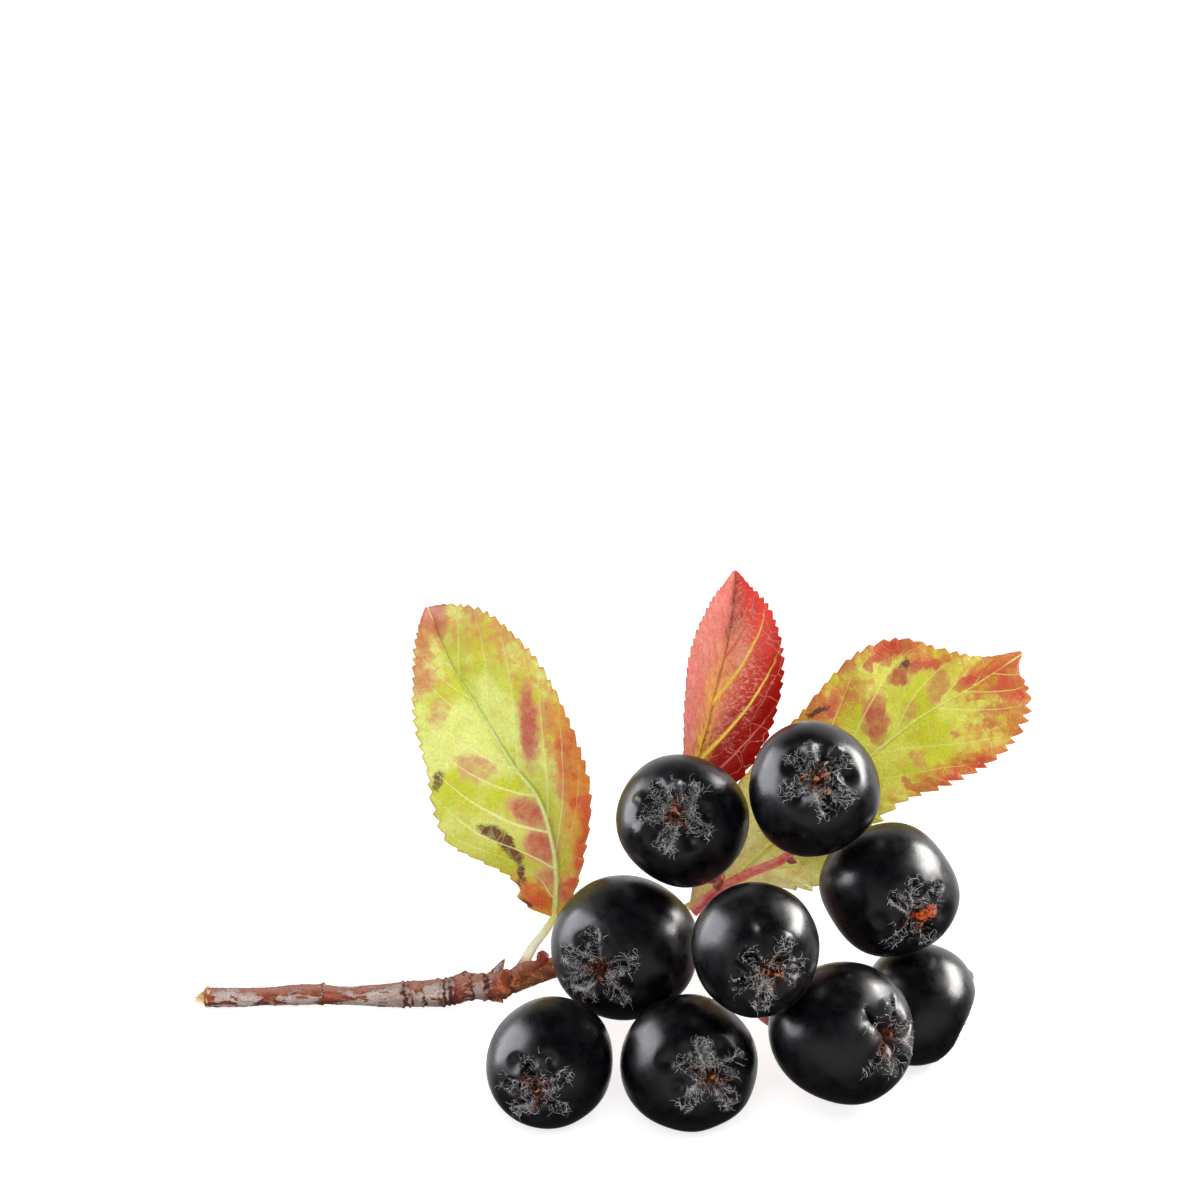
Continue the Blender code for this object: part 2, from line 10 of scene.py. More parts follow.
import bpy
import numpy as np
from mathutils import Matrix, Vector, noise


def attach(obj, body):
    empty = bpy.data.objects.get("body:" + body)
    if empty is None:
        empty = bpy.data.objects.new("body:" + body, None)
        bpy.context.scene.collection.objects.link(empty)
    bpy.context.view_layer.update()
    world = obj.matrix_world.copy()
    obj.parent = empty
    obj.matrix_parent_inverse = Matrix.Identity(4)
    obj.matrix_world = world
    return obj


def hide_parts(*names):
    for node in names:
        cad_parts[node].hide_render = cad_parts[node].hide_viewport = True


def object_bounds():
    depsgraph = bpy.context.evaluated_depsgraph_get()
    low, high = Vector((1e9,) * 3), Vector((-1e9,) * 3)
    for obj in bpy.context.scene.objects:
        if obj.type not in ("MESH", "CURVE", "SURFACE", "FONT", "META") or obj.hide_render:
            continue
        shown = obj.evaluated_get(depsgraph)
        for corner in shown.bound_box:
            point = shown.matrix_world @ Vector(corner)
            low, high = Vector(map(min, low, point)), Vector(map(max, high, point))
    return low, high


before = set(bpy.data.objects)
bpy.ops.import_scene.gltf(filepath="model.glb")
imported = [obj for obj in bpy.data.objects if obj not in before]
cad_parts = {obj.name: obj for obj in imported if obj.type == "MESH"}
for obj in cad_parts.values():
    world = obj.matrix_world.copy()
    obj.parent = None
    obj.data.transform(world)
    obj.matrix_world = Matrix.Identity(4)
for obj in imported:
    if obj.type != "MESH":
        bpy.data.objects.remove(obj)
CAD_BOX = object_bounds()

MM = 0.001
TURN = 2 * math.pi
LEAN = math.radians(28.0)            # how far the face frame leans back from upright
SPRIG_PLACE = (8.822, -7.027, 19.5)  # where the face frame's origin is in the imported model
FACE = Matrix.Translation(Vector(SPRIG_PLACE) * MM) @ Matrix.Rotation(math.radians(90.0) - LEAN, 4, "X")
CURVE_SAMPLES = 400
GAP = 0.3     # between a pedicel and its berry
SEAT = 0.2    # how deep a resting berry is dented

# The berries. "clefts" are the turns of the five clefts round the calyx, in degrees, and "wool" is how much
# grows at each. "hollows" are the round dark hollows in the lobes: turn, distance from the calyx and depth.
# "ridges" run out from the calyx: turn, start, end, height and how felted they are; the felt is grey hair
# and also a painted grey sheen along the ridge. "relief" scales the raised banks of the clefts, the clefts
# and the lobes, and ends with the depth of the calyx basin.
# "outline" makes a berry less round as the viewer sees it: waves round it, share of the radius and turn.
# "bits" are dried petals and anthers: place beside the calyx, length, width, turn and tint.
BERRIES = {
    "berry_1": dict(
        centre=(-1.8, 8.0, 0.0), radius=6.6, facing=(-0.13, 0.16, 0.98),
        clefts=(51, 128, 183, 249, 330), wool=(1.2, 1.3, 1.0, 1.2, 1.2),
        hollows=((66, 3.0, 0.9), (143, 2.7, 0.8), (224, 3.0, 0.8), (296, 3.2, 0.9), (4, 3.2, 1.0)),
        ridges=((88, 2.0, 3.9, 0.5, 0.35), (60, 3.0, 4.4, 0.4, 0.35), (6, 1.0, 2.4, 0.45, 0.5),
            (262, 1.9, 4.6, 0.5, 0.45), (158, 3.0, 5.4, 0.4, 0.0), (206, 3.0, 5.4, 0.4, 0.0)),
        relief=(0.8, 1.0, 1.0, 0.7), outline=((2, 0.014, -37), (4, 0.01, 12), (1, 0.008, -54)),
        bits=((-0.1, 0.45, 0.42, 0.35, 20, 1.15), (0.5, -0.1, 0.4, 0.16, -50, 1.0)),
    ),
    "berry_2": dict(
        centre=(11.2, 11.2, 3.2), radius=6.55, facing=(0.06, 0.21, 0.98),
        clefts=(39, 135, 200, 279, 327), wool=(1.0, 1.1, 1.0, 0.7, 1.1),
        hollows=((80, 2.9, 0.9), (152, 3.0, 0.9), (221, 2.9, 0.7), (305, 3.0, 0.8), (6, 3.1, 0.75)),
        ridges=((103, 2.0, 4.4, 0.55, 0.25), (264, 1.0, 3.2, 0.55, 0.55), (60, 2.9, 4.8, 0.36, 0.1),
            (323, 2.4, 3.8, 0.35, 0.4)),
        relief=(0.8, 1.0, 1.0, 0.8), outline=((0, 0.012, 0), (2, 0.012, 90), (3, 0.018, -10)),
        bits=((-0.45, 0.0, 0.5, 0.36, 10, 1.0), (0.9, 0.6, 0.9, 0.26, 25, 1.3),
            (-1.6, 0.3, 0.8, 0.14, 30, 0.9), (1.0, -1.4, 0.6, 0.16, 55, 1.0)),
    ),
    "berry_3": dict(
        centre=(19.1, 0.9, -2.4), radius=6.9, facing=(0.43, -0.41, 0.8),
        clefts=(57, 108, 145, 235, 311), wool=(0.9, 1.0, 1.0, 0.9, 0.5),
        hollows=((82, 2.6, 0.8), (125, 3.2, 0.5), (190, 4.2, 0.35), (270, 3.0, 0.7), (3, 3.2, 0.6)),
        ridges=((62, 1.2, 3.3, 0.45, 0.2), (205, 2.0, 3.5, 0.35, 0.1), (130, 1.2, 2.8, 0.3, 0.3),
            (285, 2.2, 3.8, 0.35, 0.1)),
        relief=(0.5, 0.8, 1.0, 0.5), outline=((2, 0.045, -32), (4, 0.025, -17)),
        bits=((0.55, 0.9, 2.6, 1.0, 12, 2.0), (0.5, 0.1, 1.0, 0.45, -60, 2.0),
            (0.4, -0.8, 0.6, 0.18, 60, 1.0)),
    ),
    "berry_4": dict(
        centre=(-7.8, -5.0, -2.8), radius=7.1, facing=(-0.38, -0.31, 0.87),
        clefts=(14, 98, 152, 209, 302), wool=(1.3, 1.1, 1.2, 1.2, 1.3),
        hollows=((116, 3.3, 0.9), (323, 3.1, 0.7), (180, 3.0, 0.6), (255, 3.1, 0.6)),
        ridges=((84, 2.2, 4.2, 0.5, 0.2), (243, 1.6, 3.9, 0.45, 0.6), (338, 1.0, 2.6, 0.5, 0.5),
            (170, 2.4, 4.2, 0.4, 0.5), (20, 2.0, 4.4, 0.35, 0.0)),
        relief=(0.8, 1.0, 1.0, 0.5), outline=((0, 0.045, 0), (1, 0.035, 10), (2, 0.02, 15)),
        bits=((-0.8, 0.6, 0.5, 0.14, 120, 0.6), (0.4, -0.9, 0.5, 0.14, -60, 0.9)),
    ),
    "berry_5": dict(
        centre=(5.3, -4.3, 9.3), radius=6.3, facing=(0.22, -0.38, 0.9),
        clefts=(6, 65, 137, 205, 261), wool=(0.8, 0.9, 0.6, 0.9, 1.5),
        hollows=((171, 3.2, 0.6), (235, 2.4, 0.5), (310, 1.9, 0.5), (35, 3.4, 0.5), (100, 5.2, 0.6)),
        ridges=((70, 2.2, 4.8, 0.55, 0.0), (262, 0.7, 2.2, 0.45, 1.0), (330, 2.0, 3.6, 0.4, 0.1),
            (158, 2.0, 4.2, 0.45, 0.0), (115, 1.4, 2.8, 0.4, 0.0)),
        relief=(0.3, 0.8, 1.0, 0.5), outline=((0, 0.033, 0), (2, 0.035, -80), (3, 0.018, 33)),
        bits=((-0.9, 0.5, 0.6, 0.14, 70, 1.0), (-0.3, 0.5, 0.5, 0.13, 100, 0.9),
            (0.9, 0.1, 0.6, 0.2, -20, 1.1), (1.5, 0.1, 0.7, 0.12, 85, 0.9)),
    ),
    "berry_6": dict(
        centre=(-15.1, -16.2, 2.1), radius=6.4, facing=(-0.21, -0.41, 0.89),
        clefts=(29, 105, 166, 221, 318), wool=(0.8, 0.5, 0.9, 1.0, 0.8),
        hollows=((67, 3.7, 0.7), (125, 3.8, 0.5), (270, 3.2, 0.4)),
        ridges=((75, 1.9, 4.4, 0.5, 0.1), (262, 1.2, 3.0, 0.4, 0.2), (20, 1.5, 3.5, 0.3, 0.1)),
        relief=(0.3, 0.9, 0.8, 0.5), outline=((0, 0.015, 0), (1, 0.03, 49), (2, 0.04, 60)),
        bits=((0.2, 0.3, 0.5, 0.16, 30, 0.8),),
    ),
    "berry_7": dict(
        centre=(-1.1, -16.0, 3.0), radius=6.75, facing=(0.34, -0.17, 0.92),
        clefts=(33, 106, 152, 231, 313), wool=(0.9, 1.9, 1.0, 1.5, 1.2),
        hollows=((73, 3.1, 0.8), (135, 3.9, 0.6), (195, 3.6, 0.6), (162, 4.8, 0.5), (350, 2.8, 0.6)),
        ridges=((106, 0.9, 4.2, 0.45, 0.8), (222, 0.9, 3.2, 0.45, 0.8), (300, 1.0, 3.4, 0.45, 0.25),
            (5, 1.6, 3.4, 0.35, 0.2), (38, 2.6, 4.8, 0.4, 0.0)),
        relief=(0.6, 1.0, 1.0, 0.6),
        outline=((0, 0.02, 0), (1, 0.017, -95), (2, 0.015, -30), (3, 0.01, -19)),
        bits=((0.2, 0.2, 0.5, 0.2, 30, 1.2), (-2.5, 1.6, 0.5, 0.1, 30, 1.0),
            (0.7, -0.3, 0.4, 0.2, 80, 1.2)),
    ),
    "berry_8": dict(
        centre=(13.9, -13.0, 2.9), radius=7.0, facing=(0.75, -0.02, 0.66),
        clefts=(12, 69, 140, 234, 300), wool=(0.3, 0.3, 0.2, 0.5, 0.3),
        hollows=((148, 3.1, 0.3),),
        ridges=((100, 2.4, 4.2, 0.3, 0.15), (160, 1.8, 4.0, 0.25, 0.15), (262, 2.2, 4.2, 0.3, 0.2),
            (330, 1.4, 3.4, 0.15, 0.3), (40, 1.4, 3.4, 0.15, 0.25)),
        relief=(0.0, 0.5, 1.3, 0.5),
        outline=((0, 0.045, 0), (1, 0.03, -11), (2, 0.035, -15), (3, 0.02, -59)),
        bits=((0.1, 0.3, 0.5, 0.16, 100, 0.9),),
    ),
    "berry_9": dict(
        centre=(22.3, -11.1, -7.6), radius=6.3, facing=(0.91, -0.4, -0.08),
        clefts=(54, 126, 198, 250, 342), wool=(0.3, 0.3, 0.3, 0.3, 0.3),
        hollows=((90, 4.1, 0.5), (54, 4.6, 0.3), (270, 3.6, 0.5)),
        ridges=((90, 4.3, 6.5, 0.28, 0.0), (270, 4.2, 5.8, 0.2, 0.0)),
        relief=(0.0, 0.35, 0.9, 1.3), outline=((1, 0.02, 110), (3, 0.01, 20)),
        bits=(),
    ),
}
RESTING = ("berry_6", "berry_7", "berry_9")
LENGTH_RATIO = 0.94
CALYX_ANGLE = 40.0
CLEFT_DEPTH, CLEFT_WIDTH, CLEFT_FADE = 0.9, 0.55, 0.45
CLEFT_WAVE = 0.10                              # radians that a cleft wanders to either side
SLIT_DEPTH, SLIT_WIDTH = 0.75, 0.20            # a narrow slit along the bottom of each cleft
LOBE_RISE, LOBE_PLACE, LOBE_SPREAD = 0.35, 0.55, 0.28
BANK_RISE, BANK_PLACE, BANK_WIDTH = 0.24, 0.92, 0.38
RIDGE_WIDTH, HOLLOW_WIDTH = 0.58, 0.88
BASIN_REACH = 0.80                             # the whole calyx lies in a shallow basin
PIT_DEPTH, PIT_ANGLE, STYLE_RISE = 0.9, 9.0, 0.5
STEM_DIMPLE, STEM_ANGLE = 0.5, 14.0
SKIN_WAVE = 0.050                              # height of the soft unevenness of a berry's skin
CALYX_RINGS, SIDE_RINGS, LOBE_COLUMNS = 62, 50, 28
WOOL_HAIRS, WOOL_RADIUS, WOOL_STEPS = 96, 0.0145, 9    # hairs are counted at a cleft of wool 1.0
RIDGE_HAIRS, MOST_FELT = 30, 0.6                       # hairs for a millimetre of felt, up to the most
FILAMENTS, FILAMENT_RADIUS, FILAMENT_STEPS = 70, 0.026, 10

# The twig's axis with its radius at each point, from the cut end to the foot of the fruit stalks.
TWIG = (((-50.9, -11.2, -18.3), 1.0), ((-44.0, -11.0, -17.7), 0.93), ((-40.0, -10.8, -17.4), 1.06),
    ((-36.1, -10.9, -17.1), 0.93), ((-31.3, -10.8, -16.8), 1.22), ((-27.8, -10.6, -16.5), 1.35),
    ((-25.4, -10.4, -16.4), 1.4), ((-23.9, -9.9, -16.3), 1.45), ((-22.5, -9.9, -16.2), 1.33),
    ((-20.6, -9.8, -16.0), 1.55), ((-19.3, -9.4, -15.8), 1.3), ((-16.6, -8.5, -15.4), 1.1),
    ((-12.5, -7.1, -14.9), 1.05), ((-7.7, -5.2, -14.4), 0.95), ((-0.9, -2.4, -13.9), 0.6))
TWIG_RINGS, TWIG_SIDES = 640, 64
# Grooves round the twig: place across, half width and depth.
TWIG_GROOVES = ((-43.6, 0.1, 0.05), (-38.7, 0.1, 0.1), (-30.1, 0.14, 0.14), (-29.5, 0.12, 0.12),
    (-28.2, 0.12, 0.13), (-26.0, 0.22, 0.16), (-25.4, 0.16, 0.15), (-24.9, 0.12, 0.1), (-23.2, 0.16, 0.12),
    (-21.6, 0.2, 0.16), (-19.2, 0.25, 0.12), (-9.8, 0.15, 0.06))
# How much of the bark the dry grey film covers, at places across, and how much less there is on top.
FILM_PLACES = (-52.0, -50.5, -49.5, -45.6, -45.0, -43.0, -39.8, -38.8, -38.0, -37.0, -32.0, -30.5, -29.0,
    -27.0, -25.5, -24.5, -23.2, -22.0, -20.8, -19.5)
FILM_COVER = (0.2, 0.35, 0.7, 0.68, 0.34, 0.5, 0.52, 0.65, 0.36, 0.64, 0.72, 0.9, 0.76, 0.82, 0.85, 0.35,
    0.5, 0.9, 0.55, 0.0)
FILM_TOP_LOSS = 0.42
LEAF_SCAR = ((-19.7, -9.2), (0.70, 1.00))      # place and half sizes
LEAF_BASE_PLACE, LEAF_BASE_RISE = -17.7, 0.5   # the mound under the stalk of leaf_left
# Buds, scales and stubs on the twig: foot, tip, foot radius and how much they swell in the middle.
TWIG_BUDS = (((-38.9, -10.6, -17.2), (-38.5, -9.5, -16.8), 0.5, 0.85),
    ((-24.0, -9.8, -16.3), (-23.9, -8.2, -15.8), 0.72, 0.95),
    ((-21.0, -8.9, -15.9), (-19.8, -7.0, -15.3), 0.48, 0.7),
    ((-21.1, -10.4, -15.8), (-20.0, -11.5, -15.0), 0.52, 0.7))
TWIG_STUB = ((-16.2, -8.0, -15.2), (-15.8, -6.4, -14.2), 0.60)
PITH_FOOT, PITH_TIP, SPLINTERS = (-50.4, -11.2, -18.2), (-52.5, -11.0, -18.3), 170

STALK_MAIN = (((-0.4, -2.1, -13.8), 0.55), ((2.2, 0.2, -13.2), 0.54), ((4.9, 1.8, -12.4), 0.47),
    ((9.0, 3.7, -11.0), 0.46), ((10.6, 5.8, -9.6), 0.44), ((11.0, 7.4, -8.0), 0.42))
STALK_LOWER = (((1.4, -0.6, -13.4), 0.5), ((2.2, -4.2, -12.2), 0.5), ((3.2, -7.6, -10.0), 0.47),
    ((3.4, -9.8, -7.8), 0.42))
STALK_BUDS = (((2.0, 0.5, -12.9), (2.6, 1.4, -12.2), 0.42, 0.9),
    ((9.3, 3.5, -10.9), (10.1, 3.2, -10.3), 0.35, 0.8))
# Each pedicel: its berry, the point it grows from and the way it sets out.
PEDICELS = (("berry_1", (2.2, 0.3, -13.1), (0.3, 4.0, 1.0)),
    ("berry_2", (10.9, 7.0, -8.5), (0.2, 3.0, 3.0)), ("berry_3", (10.7, 6.3, -9.2), (4.5, 0.8, -0.8)),
    ("berry_4", (2.1, -4.4, -12.1), (-5.0, 0.2, 0.4)), ("berry_5", (3.0, -6.6, -10.6), (0.8, 1.8, 4.0)),
    ("berry_6", (2.2, -5.0, -11.9), (-6.0, -0.5, -0.2)), ("berry_7", (3.4, -9.5, -8.1), (-3.0, -2.6, 1.4)),
    ("berry_8", (3.3, -9.3, -8.4), (3.5, -2.4, 1.5)), ("berry_9", (3.1, -7.4, -10.2), (6.0, -3.2, -0.3)))
PEDICEL_RADIUS, PEDICEL_FLARE, STALK_SIDES = 0.42, 0.62, 20

# The leaves. Outlines are curves through a few points from the blade's foot to its tip. Veins are given
# for each half as the share along the midrib where one starts and the share along the edge that it
# makes for. "tooth" is the depth of the teeth and "bend" how much the veins curve to the tip, at the left
# and right. "vein_looks" is how strongly the veins of the left and right half show and how wide they are.
# "red", "orange" and "dark" are blotches: place, half sizes, turn in degrees and strength; in leaf_middle
# the dark ones along the midrib are painted shade in its fold. "snapped" is how much they keep to the small
# fields of the leaf's net. "foot_reach" is where the colour of the foot ends; the pale foot of leaf_right is
# painted light where the berries shade it.
LEAVES = {
    "leaf_left": dict(
        stalk=((-18.4, -9.0, -16.0), (-17.8, -7.4, -15.5), (-16.8, -5.6, -15.2), (-15.7, -4.2, -15.3)),
        midrib=((-14.7, -2.7, -15.5), (-14.6, 3.0, -15.3), (-16.3, 9.4, -15.4), (-18.8, 12.7, -15.6),
            (-22.4, 18.6, -15.8), (-25.1, 22.9, -16.2), (-26.8, 26.8, -16.8), (-27.8, 29.2, -17.5)),
        left=((-15.1, -2.6, -15.5), (-17.0, -1.9, -15.2), (-18.4, -0.6, -14.9), (-18.6, 0.7, -14.8),
            (-20.2, 2.0, -14.6), (-22.4, 3.1, -14.3), (-25.6, 4.9, -13.6), (-27.0, 7.8, -13.2),
            (-28.1, 13.0, -13.0), (-29.3, 18.4, -13.2), (-29.3, 23.4, -14.2), (-28.9, 27.0, -15.8),
            (-28.1, 29.2, -17.5)),
        right=((-14.3, -2.6, -15.5), (-12.7, -0.3, -14.8), (-11.5, 4.0, -14.2), (-10.8, 9.8, -13.6),
            (-12.2, 15.4, -13.2), (-14.6, 21.0, -13.1), (-17.6, 25.4, -13.6), (-21.6, 28.8, -14.8),
            (-25.2, 29.7, -16.3), (-27.6, 29.3, -17.5)),
        teeth=29, tooth=(0.38, 0.38), pairs=7, lead=0.1, crown=0.9, ripple=0.2,
        flat_tip=0.3, bend=(1.45, 0.95), snapped=0.3,
        veins_left=((0.05, 0.4), (0.14, 0.49), (0.25, 0.58), (0.36, 0.67), (0.46, 0.77), (0.6, 0.85),
            (0.7, 0.9), (0.8, 0.94)),
        veins_right=((0.05, 0.45), (0.16, 0.57), (0.27, 0.68), (0.44, 0.82), (0.6, 0.9), (0.77, 0.955)),
        vein_looks=(0.74, 0.44, 1.0), foot_reach=(0.5, 0.1), specular=0.2,
        red=(((-17.3, 17.2), (0.72, 3.3), 4, 1.0), ((-17.4, 15.6), (0.6, 1.7), 4, 0.5),
            ((-15.3, 18.1), (0.8, 1.4), 10, 0.55), ((-12.7, 12.7), (1.5, 4.4), 8, 0.75),
            ((-22.7, 12.7), (1.7, 1.2), -25, 0.45), ((-17.4, 8.1), (1.9, 1.0), -30, 0.85),
            ((-16.0, 4.6), (1.6, 1.2), -35, 0.95), ((-15.4, 1.4), (1.0, 0.9), 0, 0.7),
            ((-16.6, -0.5), (1.7, 0.8), -35, 1.0), ((-11.5, 8.4), (0.6, 2.4), 3, 1.0),
            ((-12.0, 3.8), (0.6, 1.9), -8, 1.0), ((-13.1, 0.2), (0.8, 1.3), -25, 0.9),
            ((-27.6, 28.5), (1.3, 2.2), 15, 0.85), ((-28.6, 24.4), (1.0, 3.2), 0, 0.5),
            ((-26.6, 18.4), (0.9, 1.4), 0, 0.35), ((-28.0, 22.0), (1.1, 1.4), 0, 0.4),
            ((-20.5, 26.6), (3.8, 1.6), -25, 0.3)),
        orange=(((-21.0, 26.5), (6.5, 2.6), -28, 0.45), ((-15.0, 22.0), (3.0, 5.0), 35, 0.45),
            ((-13.0, 16.0), (2.2, 4.6), 6, 0.8), ((-11.9, 8.5), (1.5, 6.0), 2, 0.95),
            ((-13.0, 1.0), (1.1, 3.0), -20, 0.7), ((-17.2, -0.6), (3.0, 1.4), -30, 1.0),
            ((-27.9, 25.5), (1.6, 4.5), 5, 0.35)),
        dark=(((-20.9, 6.0), (1.3, 0.6), -28, 0.9), ((-19.6, 5.0), (1.0, 0.55), -45, 0.9),
            ((-18.8, 3.9), (0.9, 0.45), -55, 0.9), ((-18.3, 2.8), (0.32, 1.1), 14, 0.8),
            ((-18.0, 1.6), (0.3, 0.8), 18, 0.7), ((-26.6, 11.5), (0.5, 0.9), -10, 0.7),
            ((-17.9, -0.9), (0.8, 0.25), -30, 0.7), ((-18.2, 0.9), (0.5, 0.3), 0, 0.7)),
        colours=dict(light=(232, 238, 136), deep=(202, 207, 44), warm=(216, 194, 84), orange=(216, 144, 46),
            red=(192, 88, 72), pink=(212, 156, 114), ember=(208, 90, 46), dark=(98, 40, 38),
            edge=(200, 118, 56), vein=(238, 242, 168), net=(232, 232, 150), groove=(134, 152, 28),
            foot=(186, 180, 40), tip=(246, 158, 148)),
    ),
    "leaf_middle": dict(
        stalk=((2.0, 1.2, -14.2), (1.3, 3.5, -13.6), (0.0, 6.1, -12.7)),
        midrib=((-1.0, 8.0, -12.0), (0.0, 14.1, -13.0), (1.0, 17.6, -13.5), (1.8, 20.7, -14.0),
            (3.0, 25.1, -14.3), (3.7, 29.2, -14.4), (3.9, 33.0, -14.6)),
        left=((-1.3, 8.1, -12.0), (-1.6, 11.0, -11.4), (-1.5, 15.5, -10.8), (-1.4, 19.5, -10.5),
            (-1.1, 23.2, -10.7), (-0.2, 26.8, -11.4), (1.4, 30.0, -12.6), (3.7, 33.0, -14.6)),
        right=((-0.7, 7.9, -12.0), (2.2, 9.6, -10.5), (5.0, 12.4, -9.8), (7.4, 16.6, -9.6),
            (8.6, 20.8, -10.0), (8.7, 25.2, -10.7), (7.6, 29.0, -11.8), (5.4, 31.6, -13.2),
            (4.1, 33.0, -14.6)),
        teeth=25, tooth=(0.32, 0.36), pairs=6, lead=0.12, crown=0.5, ripple=0.15,
        flat_tip=0.0, bend=(1.0, 1.05), snapped=0.3,
        veins_left=((0.1, 0.42), (0.26, 0.58), (0.42, 0.72), (0.57, 0.84), (0.72, 0.92)),
        veins_right=((0.03, 0.5), (0.19, 0.69), (0.46, 0.86), (0.64, 0.92), (0.78, 0.96)),
        vein_looks=(0.22, 1.0, 1.75), foot_reach=(0.5, 0.1), specular=0.05,
        red=(),
        orange=(((1.9, 22.7), (1.1, 3.4), -8, 0.8), ((4.4, 24.0), (1.6, 3.6), -10, 0.5)),
        # These dark marks along the upper midrib are painted shade in the leaf's fold.
        dark=(((3.3, 28.7), (0.35, 3.2), -12, 0.55), ((2.4, 23.0), (0.25, 2.6), -12, 0.3),
            ((4.5, 28.6), (0.7, 2.4), -8, 0.34)),
        colours=dict(light=(240, 138, 126), deep=(222, 78, 64), warm=(240, 166, 140),
            orange=(244, 184, 124), red=(156, 12, 2), pink=(240, 166, 146), ember=(190, 40, 30),
            dark=(124, 62, 42), edge=(204, 50, 46), vein=(250, 222, 92), net=(248, 190, 166),
            groove=(120, 40, 28), foot=(190, 60, 44), tip=(214, 66, 62)),
    ),
    "leaf_right": dict(
        stalk=((-2.6, -3.0, -15.4), (-1.9, -2.4, -16.0), (-1.1, -1.8, -16.4)),
        midrib=((-0.4, -1.4, -16.6), (2.5, 0.7, -17.1), (5.7, 3.2, -17.6), (12.3, 9.3, -18.8),
            (18.3, 14.0, -19.4), (23.2, 17.8, -19.6), (28.4, 20.8, -19.8), (34.0, 24.4, -21.0)),
        left=((-0.7, -1.1, -16.6), (-0.1, 2.6, -16.3), (2.0, 8.4, -16.0), (6.2, 13.6, -16.2),
            (10.3, 17.9, -16.4), (13.4, 21.7, -16.6), (17.0, 24.9, -17.0), (21.3, 26.2, -17.6),
            (25.5, 25.0, -18.4), (29.8, 24.2, -19.8), (33.8, 24.7, -21.0)),
        right=((-0.1, -1.7, -16.6), (3.2, -1.8, -16.5), (6.2, -0.6, -16.8), (9.2, 0.1, -17.0),
            (12.6, 0.0, -17.1), (16.4, 3.6, -17.2), (20.4, 8.2, -17.4), (26.6, 11.0, -17.8),
            (31.6, 13.6, -18.3), (34.4, 17.6, -18.9), (34.9, 20.5, -19.6), (33.7, 22.4, -20.3),
            (33.7, 23.7, -20.9)),
        teeth=30, tooth=(0.34, 0.72), pairs=8, lead=0.08, crown=1.0, ripple=0.26,
        flat_tip=0.8, bend=(0.95, 1.05), snapped=0.6,
        veins_left=((0.07, 0.33), (0.18, 0.5), (0.3, 0.66), (0.42, 0.79), (0.62, 0.89), (0.755, 0.945),
            (0.85, 0.975)),
        veins_right=((0.1, 0.42), (0.25, 0.6), (0.4, 0.75), (0.565, 0.84), (0.755, 0.905), (0.83, 0.95),
            (0.91, 0.98)),
        vein_looks=(0.55, 0.66, 1.0), foot_reach=(0.32, 0.14), specular=0.2,
        red=(((18.5, 17.8), (1.0, 2.0), 5, 0.95), ((21.0, 22.1), (0.8, 0.9), 20, 1.0),
            ((19.2, 24.1), (0.9, 0.6), -20, 0.95), ((23.7, 23.4), (2.1, 0.5), 8, 0.95),
            ((15.3, 23.0), (0.9, 0.8), 40, 0.7), ((13.9, 18.9), (0.7, 1.1), -25, 0.85),
            ((15.9, 20.4), (1.4, 1.0), 40, 0.5), ((25.1, 21.0), (0.8, 1.4), -15, 0.6),
            ((22.2, 18.7), (0.6, 1.0), -30, 0.4), ((28.8, 21.8), (1.8, 0.5), 27, 0.8),
            ((31.7, 22.7), (1.4, 0.5), 27, 1.0), ((32.0, 20.9), (1.1, 0.6), 15, 1.0),
            ((33.4, 20.2), (0.8, 0.35), 0, 1.0), ((31.1, 18.6), (1.1, 0.6), 10, 0.5),
            ((30.2, 17.1), (1.2, 0.5), 10, 0.6), ((29.7, 13.2), (0.9, 0.6), 20, 1.0),
            ((27.9, 12.8), (1.2, 0.45), 20, 0.8), ((23.0, 13.4), (0.6, 1.0), 35, 0.45),
            ((22.2, 10.7), (1.0, 0.4), -50, 0.6), ((26.5, 11.1), (1.1, 0.6), 15, 0.8),
            ((17.8, 22.7), (0.25, 1.0), 10, 0.8), ((27.0, 15.9), (0.5, 0.35), 0, 0.5),
            ((12.0, 19.3), (1.6, 1.4), 40, 0.45), ((20.6, 25.2), (2.2, 0.9), 5, 0.7)),
        orange=(((34.2, 18.0), (2.2, 6.0), 8, 0.95), ((31.5, 22.6), (3.8, 1.9), 27, 0.9),
            ((28.4, 12.4), (5.8, 1.5), 22, 0.9), ((18.0, 25.4), (4.0, 1.3), 5, 0.8),
            ((12.2, 19.2), (3.6, 3.0), 40, 0.6), ((24.5, 24.4), (4.0, 1.2), -10, 0.6),
            ((31.0, 16.0), (3.6, 2.4), 15, 0.45), ((22.0, 10.0), (3.5, 1.2), 15, 0.4)),
        dark=(((12.25, 18.4), (0.1, 1.1), -70, 0.9), ((21.6, 23.3), (0.5, 0.4), 0, 0.6)),
        # The pale foot colour is painted light on the blade's foot, where the berries shade it.
        colours=dict(light=(220, 222, 92), deep=(198, 202, 42), warm=(208, 170, 76), orange=(202, 104, 50),
            red=(184, 88, 66), pink=(204, 146, 84), ember=(204, 74, 50), dark=(84, 50, 44),
            edge=(206, 96, 60), vein=(230, 230, 132), net=(220, 212, 110), groove=(168, 164, 40),
            foot=(252, 246, 182), tip=(206, 92, 66)),
    ),
}
BLADE_THICKNESS = 0.26
STALK_RADIUS, STALK_RINGS, LEAF_STALK_SIDES = 0.55, 26, 12
OFF_BLADE = 3.0                     # on the stalk, in place of the distances to the midrib and the margin
TEETH_SPAN = (0.03, 0.985)
TOOTH_STATIONS = (0.0, 0.13, 0.27, 0.41, 0.55, 0.68, 0.78, 0.89)    # rows of points, as shares of a tooth
